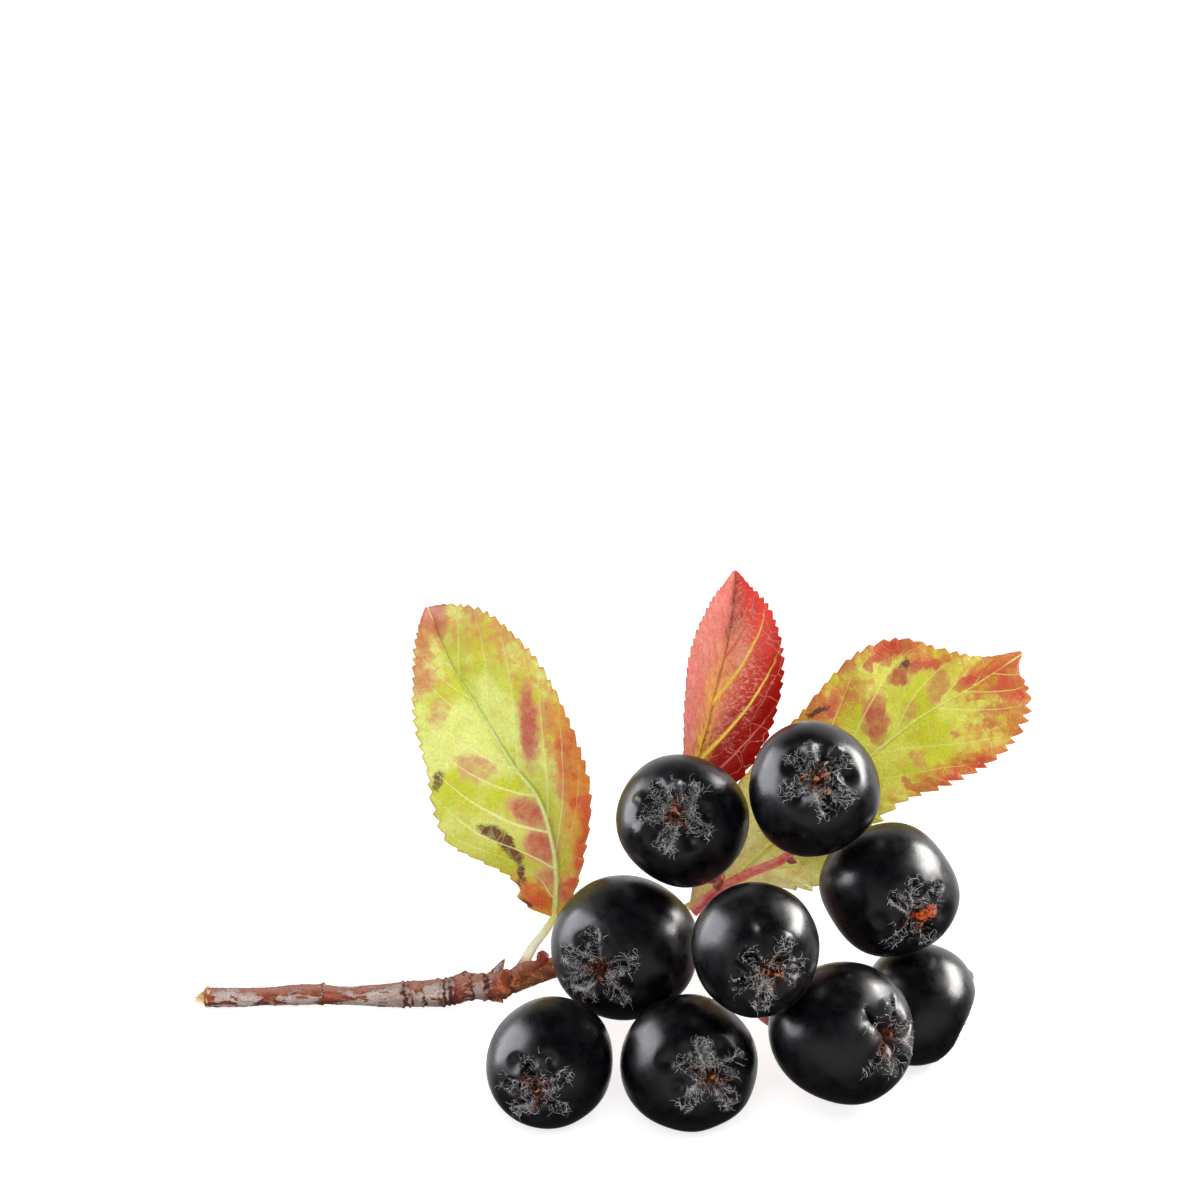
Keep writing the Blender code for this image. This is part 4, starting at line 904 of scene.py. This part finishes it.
def berry_columns(clefts, even_share):
    """Turns of a ring's points: crowded at the clefts in the calyx, evenly spread further down."""
    steps = np.arange(LOBE_COLUMNS) / LOBE_COLUMNS
    crowded = steps - 0.72 * np.sin(TURN * steps) / TURN
    starts = np.array(clefts, dtype=float)
    widths = np.diff(np.append(starts, starts[0] + 360.0))
    set_by_clefts = (starts[:, None] + widths[:, None] * crowded).ravel()
    even = starts[0] + 72.0 * (np.arange(5)[:, None] + steps).ravel()
    return np.radians(set_by_clefts * (1 - even_share) + even * even_share)


def build_skin(berry, material):
    limit = CALYX_ANGLE + 5.0
    rings = np.concatenate((np.linspace(1.4, limit, CALYX_RINGS),
                            np.linspace(limit + 2.6, 176.0, SIDE_RINGS)))
    phi = np.array([berry_columns(berry.clefts, smooth_step((ring - CALYX_ANGLE) / 40.0)) for ring in rings])
    theta = np.broadcast_to(np.radians(rings)[:, None], phi.shape)
    poles = np.outer((berry.radius - PIT_DEPTH + STYLE_RISE, STEM_DIMPLE - berry.radius), berry.turn[2])
    points = np.concatenate((berry.skin(theta, phi).reshape(-1, 3), berry.middle + poles * LENGTH_RATIO))
    columns = phi.shape[1]
    ring = np.arange(columns)
    after = (ring + 1) % columns
    base = (len(rings) - 1) * columns
    faces = grid_faces(len(rings), columns).tolist()
    faces += np.stack((np.full(columns, len(points) - 2), ring, after), axis=1).tolist()
    faces += np.stack((np.full(columns, len(points) - 1), base + after, base + ring), axis=1).tolist()
    values = {"felt_and_sheen": np.append(berry.ridged(theta, phi)[1], (0.0, 0.0))}
    for key, field, ends in (("calyx", (13.0 - rings) / 8.0, (1.0, 0.0)),
                             ("near", (46.0 - rings) / 12.0, (1.0, 0.0)),
                             ("stem", (rings - 140.0) / 30.0, (0.0, 1.0))):
        values[key] = np.append(np.repeat(smooth_step(field), columns), ends)
    make_piece(berry.name + "_skin", points, faces, material, "berry_skin", (berry.name,), **values)


def wool_roots(berry, rng):
    """Where the wool of each cleft and each felted ridge grows: thetas, the turn and ways to its side."""
    for cleft, amount in zip(berry.clefts, berry.wool):
        count = int(WOOL_HAIRS * amount)
        theta = np.radians(rng.uniform(8.0, CALYX_ANGLE * 0.93, count))
        side = rng.choice((-1.0, 1.0), count)
        yield theta, cleft, side * np.abs(rng.normal(0.55, 0.24, count))
    for turn, start, end, _, felt_and_sheen_share in berry.ridges:
        count = int(RIDGE_HAIRS * min(felt_and_sheen_share, MOST_FELT) * (end - start))
        theta = rng.uniform(start, end, count) / berry.radius
        yield theta, turn, rng.choice((-0.42, 0.42), count) + rng.normal(0.0, 0.14, count)


def build_wool(berry, material):
    """Curly grey hairs that cling to the sides of the clefts."""
    rng = np.random.default_rng(100 + berry.number)
    parts = [(theta, math.radians(turn) + away / (berry.radius * np.sin(theta)), np.sign(away))
             for theta, turn, away in wool_roots(berry, rng)]
    theta, phi, side = (np.concatenate(column) for column in zip(*parts))
    roots = berry.skin(theta, phi, -0.04)
    across = unit(berry.skin(theta, phi - 0.02 * side, -0.04) - roots)
    heading = unit(unit(roots - berry.middle) * 0.7 + across * 0.8 + rng.normal(size=roots.shape) * 0.8)
    lengths = 0.3 + 1.25 * rng.uniform(0.0, 1.0, len(roots)) ** 1.8
    paths = berry.grow(roots, heading, lengths, WOOL_STEPS, 3.2, 0.03, rng)
    points, faces = strands(paths, WOOL_RADIUS * rng.uniform(0.7, 1.25, len(roots)), 3)
    tint = np.repeat(rng.uniform(0.0, 1.0, len(roots)), WOOL_STEPS * 3)
    make_piece(berry.name + "_wool", points, faces, material, "berry_skin", tint=tint)


def build_filaments(berry, material):
    """Dried stamens: brown threads curled over the pit, some with a small anther at the end."""
    rng = np.random.default_rng(200 + berry.number)
    theta = np.radians(rng.uniform(2.0, 14.0, FILAMENTS))
    phi = rng.uniform(0.0, TURN, FILAMENTS)
    roots = berry.skin(theta, phi, -0.05)
    outward = unit(berry.skin(theta + 0.05, phi) - roots)
    lean = rng.uniform(0.4, 2.0, (FILAMENTS, 1))
    heading = unit(berry.turn[2] * 0.7 + outward * lean + rng.normal(size=roots.shape) * 0.4)
    lengths = rng.uniform(0.5, 1.8, FILAMENTS)
    paths = berry.grow(roots, heading, lengths, FILAMENT_STEPS, 2.2, 0.06, rng)
    parts = [strands(paths, FILAMENT_RADIUS * rng.uniform(0.7, 1.3, FILAMENTS), 4)]
    tints = [np.repeat(rng.uniform(0.0, 0.9, FILAMENTS) ** 2.0, FILAMENT_STEPS * 4)]
    for *shape, tint in berry.bits:
        parts.append(rolled_flap(berry, *shape))
        tints.append(np.full(len(parts[-1][0]), tint))
    for k in range(0, FILAMENTS, 10):
        size = rng.uniform(0.05, 0.09)
        parts.append(bean(paths[k, -1], (size, size * 0.8, size * 1.7), paths[k, -1] - paths[k, -2], rng))
        tints.append(np.full(parts[-1][0].size // 3, rng.uniform(0.2, 0.8)))
    points, faces = join(parts)
    make_piece(berry.name + "_flower", points, faces, material, "berry_skin", tint=np.concatenate(tints))


def bean(centre, half, direction, rng):
    """A small lumpy bean, longer along its direction."""
    rings, sides = 7, 10
    theta = np.linspace(0.12, math.pi - 0.12, rings)[:, None]
    phi = np.linspace(0.0, TURN, sides, endpoint=False)[None, :]
    z = unit(direction)
    x = unit(np.cross(z, (0.3, 0.5, 0.8)))
    lump = np.sin(theta) * (1.0 + 0.16 * np.sin(2 * phi + rng.uniform(0, 6)) * np.sin(theta))
    local = (np.cos(phi) * half[0] * lump, np.sin(phi) * half[1] * lump, np.cos(theta) * half[2] + 0.0 * phi)
    axes = (x, np.cross(z, x), z)
    points = np.array(centre) + sum(part[..., None] * axis for part, axis in zip(local, axes))
    ends = [list(range(sides)), list(reversed(range((rings - 1) * sides, rings * sides)))]
    return points, grid_faces(rings, sides).tolist() + ends


def rolled_flap(berry, x, y, length, width, turn):
    """A dry curled petal or anther that lies over the calyx."""
    right, up, out = berry.turn
    angle = math.radians(turn)
    distance = np.array([math.hypot(x, y) / berry.radius])
    place = berry.skin(distance, np.array([math.atan2(y, x)]), 0.25 + 0.3 * width)[0]
    place = place + out * max(0.0, berry.middle @ out + berry.radius * 0.9 - place @ out)
    forward = right * math.cos(angle) + up * math.sin(angle)
    along = np.linspace(-0.5, 0.5, 20)[:, None]
    curl = np.linspace(-0.9, 1.6, 14)[None, :] * (1.0 + 0.35 * np.sin(5.0 * along + x))
    radius = 0.5 * width * (1.0 - 0.5 * (2 * along) ** 4) * (1.0 + 0.18 * np.sin(9.0 * along + 3.0 * curl))
    height = radius * np.cos(curl) + 0.12 * length * np.cos(4.0 * along)
    sheet = (place + (along * length)[..., None] * forward
             + (radius * np.sin(curl))[..., None] * np.cross(out, forward) + height[..., None] * out)
    sheet = jostled(sheet, 0.5 * width, 0.22 * width, (1.0, 5.0, 9.0))
    thick = unit(np.cross(np.gradient(sheet, axis=0), np.gradient(sheet, axis=1))) * min(0.05, 0.18 * width)
    return sandwich(sheet + thick, sheet - thick)


def blade_stations(teeth):
    """Shares along the blade with a row for each station of each tooth, and the tooth's height there."""
    first, last = TEETH_SPAN
    widths = 1.0 + TOOTH_UNEVEN * np.sin(2.3 * np.arange(teeth) + teeth)
    edges = first + (last - first) * np.concatenate(([0.0], np.cumsum(widths))) / widths.sum()
    part = np.array(TOOTH_STATIONS)
    up = np.where(part <= TOOTH_POINT, (part / TOOTH_POINT) ** 0.8, (1.0 - part) / (1.0 - TOOTH_POINT))
    sizes = 0.75 + 0.55 * np.abs(np.sin(2.7 * np.arange(teeth) + 0.4 * teeth))
    shares = (edges[:-1, None] + part * np.diff(edges)[:, None]).ravel()
    shares = np.concatenate((np.linspace(0.0, first, 7)[:-1], shares, np.linspace(last, 1.0, 7)))
    return shares, np.concatenate((np.zeros(6), np.outer(sizes, up).ravel(), np.zeros(7)))


def vein_field(leaf, half, shares, across):
    """At each row and column of one half: a number that is whole on each side vein, and their spacing."""
    veins = np.array(leaf[("veins_left", "veins_right")[half]])
    bend = leaf["bend"][half]
    edge_row = veins[:, 1] - leaf["lead"] * np.sin(math.pi * (veins[:, 1] - leaf["lead"]))
    length = np.linalg.norm(np.diff(smooth_curve(leaf["midrib"], shares), axis=0), axis=1).sum()
    phase = np.zeros((len(shares), len(across)))
    spacing = np.zeros_like(phase)
    for column, place in enumerate(across):
        rows = veins[:, 0] + (edge_row - veins[:, 0]) * place**bend
        slant = (edge_row - veins[:, 0]) * bend * max(place, 0.05) ** (bend - 1.0)
        gaps = np.interp(shares, (rows[1:] + rows[:-1]) / 2, np.diff(rows)) * length
        cosine = 1.0 / np.sqrt(1.0 + (np.interp(shares, rows, slant) * length / 8.0) ** 2)
        numbers = np.concatenate(([-0.5], np.arange(len(rows)), [len(rows) - 0.5]))
        rows = np.concatenate(([1.5 * rows[0] - 0.5 * rows[1]], rows, [1.5 * rows[-1] - 0.5 * rows[-2]]))
        phase[:, column] = np.interp(shares, rows, numbers)
        spacing[:, column] = gaps * cosine
    return phase, spacing


def blade_half(leaf, half, shares, heights, places):
    """The middle surface of the blade's left or right half, its width at each row and its vein field."""
    midrib = smooth_curve(leaf["midrib"], shares)
    edge = smooth_curve(leaf[("left", "right")[half]], shares + leaf["lead"] * np.sin(math.pi * shares))
    out = edge - midrib
    width = np.linalg.norm(out, axis=1)
    cut = leaf["tooth"][half] * (1.0 - heights) * np.clip(width / 4.0 - 0.15, 0.0, 1.0)
    phase, spacing = vein_field(leaf, half, shares, places)
    fullness = np.minimum(1.0, width / FULL_BULGE_WIDTH)
    flat_tip = 1.0 - leaf["flat_tip"] * smooth_step((shares - 0.45) / 0.35)
    bow = leaf["crown"] * np.outer(fullness * flat_tip, np.sin(math.pi * places))
    ripple = leaf["ripple"] * np.outer(np.cos(TURN * leaf["pairs"] * shares) * fullness, places)
    vein = np.abs(phase - np.round(phase)) * spacing
    quilt = 1.0 - bell(np.minimum(vein, np.outer(width, places)) / QUILT_REACH)
    fade = np.minimum(1.0, 4.0 * (1.0 - places))
    near_edge = np.clip((places - 0.6) / 0.4, 0.0, 1.0) ** 1.6
    inward = np.outer(cut / width, near_edge)
    rows = midrib[:, None] + out[:, None] * (places - inward)[..., None]
    rows[..., 2] += bow - ripple + (QUILT_RISE * quilt - VEIN_SINK * bell(vein / 0.16)) * fade
    return rows, width, phase, spacing


def blade_normals(surface):
    """Directions square to the blade on the viewer's side. Where it is narrow a whole row shares one."""
    normals = unit(np.cross(np.gradient(surface, axis=1), np.gradient(surface, axis=0)))
    width = np.linalg.norm(surface[:, -1] - surface[:, 0], axis=1)[:, None, None]
    own = smooth_step((width - 1.5) / 3.0)
    shared = unit(normals.mean(axis=1, keepdims=True))
    return unit(normals * own + shared * (1.0 - own))


def field_middles(points, size):
    """The middles, in the plane the viewer sees, of the small many-sided fields that the points lie in."""
    table = np.random.default_rng(5).uniform(0.05, 0.95, (64, 64, 2))
    flat = points[..., :2] / size
    squares = [np.floor(flat).astype(int) + (across, up) for across in (-1, 0, 1) for up in (-1, 0, 1)]
    seeds = np.array([square + table[square[..., 0] % 64, square[..., 1] % 64] for square in squares])
    nearest = np.linalg.norm(seeds - flat, axis=-1).argmin(axis=0)
    return np.take_along_axis(seeds, nearest[None, ..., None], axis=0)[0] * size


def blotch_field(points, blotches, snapped):
    """The strongest blotch at each point, from 1 in its middle to 0 outside, with edges along the net."""
    points = (1.0 - snapped) * points[..., :2] + snapped * field_middles(points, FIELD_SIZE)
    field = np.zeros(points.shape[:-1])
    for place, (half_x, half_y), turn, strength in blotches:
        angle = math.radians(turn)
        dx, dy = np.moveaxis(points - place, -1, 0)
        along = (dx * math.cos(angle) + dy * math.sin(angle)) / half_x
        across = (dy * math.cos(angle) - dx * math.sin(angle)) / half_y
        field = np.maximum(field, strength * smooth_step(1.45 - 0.75 * np.hypot(along, across)))
    return field


def corner_values(faces, left, right):
    """A field that jumps at the midrib, as one number for each corner of each face."""
    rows, middle = left.shape[0], left.shape[1] - 1
    columns = 2 * middle + 1
    index = np.array(faces) % (rows * columns)
    row, column = index // columns, index % columns
    from_left = left[row, np.minimum(column, middle)]
    from_right = right[row, np.maximum(column - middle, 0)]
    return np.where(column.mean(axis=1)[:, None] < middle, from_left, from_right).ravel()


def leaf_stalk(leaf, shares, surface, normals):
    """The stalk's tube, running on behind the blade as a ridge that thins out towards the tip."""
    middle = surface.shape[1] // 2
    steps = np.linspace(0.0, 1.0, STALK_RINGS)
    lead_in = smooth_curve((*leaf["stalk"], surface[0, middle]), steps)
    flare = STALK_RADIUS * (1.0 + 0.75 * bell(steps / 0.16) - 0.28 * smooth_step(steps))
    rows = np.arange(3, len(shares) - 8, 4)
    sink = np.minimum(0.30, 0.1 + shares[rows] * 2.0) * (1.0 - 0.6 * shares[rows])
    under = surface[rows, middle] - normals[rows, middle] * sink[:, None]
    ridge = 0.36 * (1.0 - shares[rows]) + 0.08
    return tube(np.concatenate((lead_in, under)), np.concatenate((flare, ridge)), LEAF_STALK_SIDES)


def build_leaf(name, material, slot):
    """A thin toothed blade with its veins, and the round stalk that runs on as a ridge under its midrib."""
    leaf = LEAVES[name]
    shares, heights = blade_stations(leaf["teeth"])
    places = np.linspace(0.0, 1.0, HALF_COLUMNS + 1) ** 0.9
    left, right = (blade_half(leaf, half, shares, heights, places) for half in (0, 1))
    untoothed = [blade_half(leaf, half, shares, np.ones_like(heights), places)[0] for half in (0, 1)]
    surface = np.concatenate((left[0][:, ::-1], right[0][:, 1:]), axis=1)
    normals = blade_normals(np.concatenate((untoothed[0][:, ::-1], untoothed[1][:, 1:]), axis=1))
    side = np.concatenate((-places[::-1], places[1:]))
    thick = normals * (BLADE_THICKNESS / 2 * (1.0 - 0.45 * np.abs(side) ** 3))[:, None]
    points, faces = sandwich(surface + thick, surface - thick)
    width = np.where(side < 0, left[1][:, None], right[1][:, None])
    fields = {
        "side": np.broadcast_to(side, width.shape),
        "along": np.broadcast_to(shares[:, None], width.shape),
        "middle": np.abs(side) * width,
        "edge": (1.0 - np.abs(side)) * width,
    }
    for key in ("red", "orange", "dark"):
        fields[key] = blotch_field(surface, leaf[key], leaf["snapped"])
    stalk, stalk_faces = leaf_stalk(leaf, shares, surface, normals)
    rings = np.repeat(np.arange(len(stalk)), stalk.shape[1])
    none = np.zeros(len(rings))
    off_blade = none + OFF_BLADE
    on_stalk = {"side": off_blade, "along": np.minimum(rings / (STALK_RINGS - 1), 1.0), "middle": off_blade,
                "edge": off_blade, "red": none, "orange": none, "dark": none}
    values = {key: np.concatenate((field.ravel(), field.ravel(), on_stalk[key]))
              for key, field in fields.items()}
    values["stalk"] = np.append(np.zeros(len(points)), np.where(rings < STALK_RINGS, 1.0, 0.5))
    for key, column in (("phase", 2), ("spacing", 3)):
        on_blade = corner_values(faces, left[column][:, ::-1], right[column])
        values[key] = np.append(on_blade, np.full(sum(map(len, stalk_faces)), 0.5))
    points, faces = join(((points, faces), (stalk, stalk_faces)))
    make_piece(name + "_blade", points, faces, material, slot, (name,), **values)


def build_twig(material):
    axis, radii = thick_curve(TWIG, np.linspace(0.0, 1.0, TWIG_RINGS))
    plain, faces = tube(axis, radii, TWIG_SIDES)
    outward = unit(plain - axis[:, None])
    x = plain[..., 0]
    up = outward[..., 1]
    young = smooth_step(x + 20.3 + 0.5 * fractal(plain, 1.2, 2, 3.0))
    drawn = plain * np.array((0.30, 1.0, 1.0))
    cover = np.interp(x, FILM_PLACES, FILM_COVER) - FILM_TOP_LOSS * smooth_step(up * 1.2 + 0.1)
    film = np.clip(fractal(drawn, 0.75, 4, 5.0) * 0.35 + cover, 0.0, 1.0) * (1.0 - young)
    relief = 0.05 * smooth_step((film - 0.45) / 0.15)
    groove = np.zeros_like(x)
    tilt = 0.12 * (plain[..., 1] - axis[:, None, 1]) + 0.30 * fractal(plain, 0.9, 4, 9.0)
    rough = fractal(plain, 0.35, 4, 7.0)
    for place, half, depth in TWIG_GROOVES:
        away = x - place + tilt
        ring = bell(away / half)
        lip = bell((away + 2.2 * half) / half)
        wide = bell(away / (1.5 * half + 0.12))
        relief += depth * (lip * (0.55 + 0.9 * rough) - ring * 0.8)
        # How dark the ring grooves are: partly their own dark bark, partly painted shade.
        groove = np.maximum(groove, wide * min(1.0, depth * 6.0) * (0.75 + 0.9 * rough))
        film = film - 0.5 * np.maximum(ring, lip * (rough > -0.1)) * min(1.0, depth * 5.0)
    (scar_x, scar_y), (half_x, half_y) = LEAF_SCAR
    scar_at = ((x - scar_x) / half_x) ** 2 + ((plain[..., 1] - scar_y) / half_y) ** 2 + 0.7 * rough
    scar = np.exp(-np.maximum(scar_at, 0.0)) * (outward[..., 2] > 0.0)
    relief += 0.10 * smooth_step((scar - 0.2) / 0.15) - 0.10 * smooth_step((scar - 0.6) / 0.3)
    relief += 0.07 * fractal(drawn, 0.5, 4, 1.0) + 0.045 * fractal(plain, 0.22, 3, 2.0)
    relief += 0.16 * bell(x + 20.7) * fractal(plain, 0.45, 3, 7.0)
    relief += LEAF_BASE_RISE * bell((x - LEAF_BASE_PLACE) / 1.1) * smooth_step(up * 1.5)
    points = (plain + outward * relief[..., None]).reshape(-1, 3)
    make_piece("twig_bark", points, faces, material, "bark", ("twig",), film=np.maximum(film, 0.0),
               young=young, groove=groove * 0.8, scar=scar, up=up)


def bud(foot, tip, radius, swell, sides=22, rings=18, rough=0.10, seed=0.0):
    """A pointed scale or bud, swollen in its middle, with an uneven surface."""
    axis, steps = straight(foot, tip, rings)
    profile = radius * (1.0 - steps**1.7) ** 0.75 * (1.0 + (swell - 0.7) * np.sin(math.pi * steps)) + 0.03
    points, faces = tube(axis, profile, sides)
    outward = unit(points - axis[:, None])
    lumps = rough * profile[:, None] * 3.0 * fractal(points, radius * 0.6, 3, seed)
    return points + outward * lumps[..., None], faces


def build_twig_buds(material):
    points, faces = join([bud(*shape, seed=3.0 * k) for k, shape in enumerate(TWIG_BUDS)])
    none = np.zeros(len(points))
    groove = 0.55 * smooth_step(0.6 + fractal(points, 0.3, 3, 2.0))
    film = np.clip(0.45 + 0.5 * fractal(points, 0.4, 3, 4.0), 0.0, 1.0)
    make_piece("twig_buds", points, faces, material, "bark", film=film, young=none, groove=groove, scar=none,
               up=none + 0.1)


def build_stub(material):
    """The ribbed red foot of a fallen stalk."""
    foot, tip, radius = TWIG_STUB
    sides = 30
    axis, steps = straight(foot, tip, 24)
    profile = radius * (1.0 - 0.06 * steps + 0.05 * np.sin(9.0 * steps))
    radii = np.outer(profile, 1.0 + 0.08 * np.cos(5 * np.linspace(0.0, TURN, sides, endpoint=False)))
    radii[-1] *= 0.8
    points, faces = tube(axis, radii, sides)
    tint = np.repeat(0.35 + 0.4 * (np.sin(18.0 * steps) > 0.3), sides)
    points = jostled(points, 0.4, 0.09, (2.0, 4.0, 6.0)).reshape(-1, 3)
    make_piece("twig_stub", points, faces, material, "red_stalk", tint=tint)


def build_pith(material):
    """The splintered end of the twig where it was cut."""
    rng = np.random.default_rng(11)
    foot, tip = np.array(PITH_FOOT), np.array(PITH_TIP)
    parts = [bud(foot, foot + (tip - foot) * 0.55, 0.85, 0.72, 26, 24, 0.30, 5.0)]
    for _ in range(SPLINTERS):
        turn = rng.uniform(0.0, TURN)
        reach = rng.uniform(0.0, 0.9)
        side = np.array((0.0, math.cos(turn), math.sin(turn)))
        start = foot + side * reach * 0.85 + (0.2, 0.0, 0.0)
        length = (1.0 - 0.6 * reach) * rng.uniform(0.7, 2.4)
        end = start - (length, 0.0, 0.0) - side * reach * 0.15 + rng.normal(size=3) * 0.22
        axis, steps = straight(start, end, 6)
        axis = axis + side * rng.normal(0.06, 0.10) * np.sin(math.pi * steps)[:, None]
        parts.append(tube(axis, 0.06 * (1.05 - steps) * rng.uniform(0.6, 1.5), 5))
    points, faces = join(parts)
    tint = smooth_step(0.35 + 0.9 * fractal(points, 0.5, 3, 8.0) - (foot[0] - points[:, 0]) * 0.25)
    make_piece("twig_pith", points, faces, material, "bark", tint=tint)


def pedicel_curve(berry, root, setting_out, steps):
    """A bowed line from the root to just short of the dimple at the berry's stalk end."""
    axis = berry.turn[2]
    end = berry.middle - axis * ((berry.radius - STEM_DIMPLE) * LENGTH_RATIO + GAP)
    root = np.array(root)
    pull = 0.45 * np.linalg.norm(end - root)
    first = root + unit(setting_out) * pull
    second = end - axis * pull
    t = steps[:, None]
    return root * (1 - t)**3 + first * 3 * t * (1 - t)**2 + second * 3 * t**2 * (1 - t) + end * t**3


def ribbed_tube(axis, radii, seed):
    """A stalk with shallow lengthwise ribs and a slightly uneven thickness."""
    turns = np.linspace(0.0, TURN, STALK_SIDES, endpoint=False)
    ribs = 1.0 + 0.05 * np.cos(5 * turns + seed) + 0.03 * np.cos(3 * turns + 2 * seed)
    uneven = 1.0 + 0.07 * fractal(axis, 1.3, 3, seed)
    return tube(axis, np.outer(radii * uneven, ribs), STALK_SIDES)


def build_stalks(berries, material):
    parts = []
    for seed, route in enumerate((STALK_MAIN, STALK_LOWER)):
        parts.append((ribbed_tube(*thick_curve(route, np.linspace(0.0, 1.0, 90)), seed), 0.12 * seed))
    steps = np.linspace(0.0, 1.0, 60)
    radii = PEDICEL_RADIUS + (PEDICEL_FLARE - PEDICEL_RADIUS) * smooth_step((steps - 0.8) / 0.2)
    for seed, (name, root, setting_out) in enumerate(PEDICELS):
        route = pedicel_curve(berries[name], root, setting_out, steps)
        parts.append((ribbed_tube(route, radii, 2.0 + seed), 0.2))
    parts += [(bud(*shape, seed=4.0 + seed), 0.75) for seed, shape in enumerate(STALK_BUDS)]
    tints = [np.full(part[0].size // 3, tint) for part, tint in parts]
    points, faces = join([part for part, _ in parts])
    make_piece("stalks_skin", points, faces, material, "red_stalk", ("fruit_stalks",),
               tint=np.concatenate(tints))


def face_direction(*direction):
    return FACE.to_3x3() @ Vector(direction).normalized()


def add_light(name, direction, long_side, distance, size, radiance, colour, seen_in):
    """A soft rectangular light at a distance in metres. Directions are the face frame's."""
    light = bpy.data.lights.new(name, "AREA")
    light.shape = "RECTANGLE"
    light.size, light.size_y = size
    light.energy = radiance * math.pi * size[0] * size[1]
    light.color = colour
    lamp = bpy.data.objects.new(name, light)
    bpy.context.collection.objects.link(lamp)
    away = face_direction(*direction)
    along = face_direction(*long_side)
    along = (along - away * along.dot(away)).normalized()
    turn = Matrix((along, away.cross(along), away)).transposed().to_4x4()
    lamp.matrix_world = Matrix.Translation(Vector((0.0, 0.0, 0.018)) + away * distance) @ turn
    lamp.visible_glossy = seen_in == "gloss"
    lamp.visible_diffuse = seen_in == "diffuse"


def build_lights():
    """Two soft boxes for the gloss, bright at the right and wide and dim at the left, and two soft fills."""
    add_light("soft_box_right", (0.85, 0.50, -0.05), (0.30, -0.45, 0.65), 0.60, (0.48, 0.26), 30.0,
              (1.0, 0.98, 0.95), "gloss")
    add_light("soft_box_left", (-0.92, 0.34, 0.06), (0.20, 0.0, 0.95), 0.60, (0.66, 0.52), 8.5,
              (0.92, 0.93, 1.0), "gloss")
    add_light("key", (0.55, 0.75, 0.45), (0.0, 0.0, 1.0), 0.70, (0.5, 0.5), 3.8, (1.0, 0.99, 0.97), "diffuse")
    add_light("fill", (-0.05, 0.2, 1.0), (1.0, 0.0, 0.0), 0.80, (0.6, 0.6), 3.1, (0.97, 0.98, 1.0), "diffuse")


def build_world():
    """Bright behind and above the sprig, and a little brighter again in front and below."""
    world = bpy.data.worlds.new("studio")
    world.use_nodes = True
    tree = world.node_tree
    where = add_node(tree, "ShaderNodeTexCoord", "Generated")
    away, up = (add_node(tree, "ShaderNodeVectorMath", "Value", (where, tuple(face_direction(*direction))),
                         operation="DOT_PRODUCT") for direction in ((0.0, 0.0, -1.0), (0.0, 1.0, 0.0)))
    behind = away.rise(0.10, 0.85) * up.rise(-0.45, 0.05)
    front = away.rise(-0.1, -0.8) * up.rise(0.15, -0.45)
    feed(tree, tree.nodes["Background"].inputs["Strength"], behind * 1.15 + front * 0.60 + 0.04)
    feed(tree, tree.nodes["Background"].inputs["Color"], (1.0, 1.0, 1.0, 1.0))
    bpy.context.scene.world = world


def build_floor():
    """A wide white floor that also glows a little, as a lit table does."""
    look = Look("floor")
    look.shader.inputs["Emission Color"].default_value = (1.0, 1.0, 1.0, 1.0)
    look.shader.inputs["Emission Strength"].default_value = 0.7
    mesh = bpy.data.meshes.new("floor")
    half = 2.5
    mesh.from_pydata([(-half, -half, 0.0), (half, -half, 0.0), (half, half, 0.0), (-half, half, 0.0)], [],
                     [(0, 1, 2, 3)])
    mesh.materials.append(look.finish(look.clouds(60.0, 2.0).rise(0.0, 1.0, 0.86, 0.90), 0.9, 0.0))
    floor = bpy.data.objects.new("floor", mesh)
    bpy.context.collection.objects.link(floor)
    floor.visible_glossy = False


def build_camera():
    """The face frame's own view: it looks straight along the face frame from half a metre away."""
    camera = bpy.data.cameras.new("camera")
    camera.lens = 150.0
    camera.sensor_width = 36.0
    camera.clip_start = 0.01
    eye = bpy.data.objects.new("camera", camera)
    bpy.context.collection.objects.link(eye)
    eye.matrix_world = FACE @ Matrix.Translation(Vector((-10.0, 30.0, 500.0)) * MM)
    bpy.context.scene.camera = eye


def main():
    build_camera()
    build_world()
    build_floor()
    build_lights()
    bpy.context.scene.view_settings.view_transform = "Standard"
    skin, wool, dried = skin_material(), wool_material(), filament_material()
    berries = {name: Berry(name) for name in BERRIES}
    for berry in berries.values():
        build_skin(berry, skin)
        build_wool(berry, wool)
        build_filaments(berry, dried)
    for name, slot in (("leaf_left", "yellow_green_leaf"), ("leaf_middle", "red_leaf"),
                       ("leaf_right", "yellow_red_leaf")):
        build_leaf(name, leaf_material(name), slot)
    bark = bark_material()
    build_twig(bark)
    build_twig_buds(bark)
    build_pith(pith_material())
    build_stub(stalk_material("dark_stalk", (128, 36, 20), (196, 86, 54), (96, 26, 16)))
    build_stalks(berries, stalk_material("red_stalk", (255, 112, 96), (255, 172, 152), (250, 84, 78)))


main()
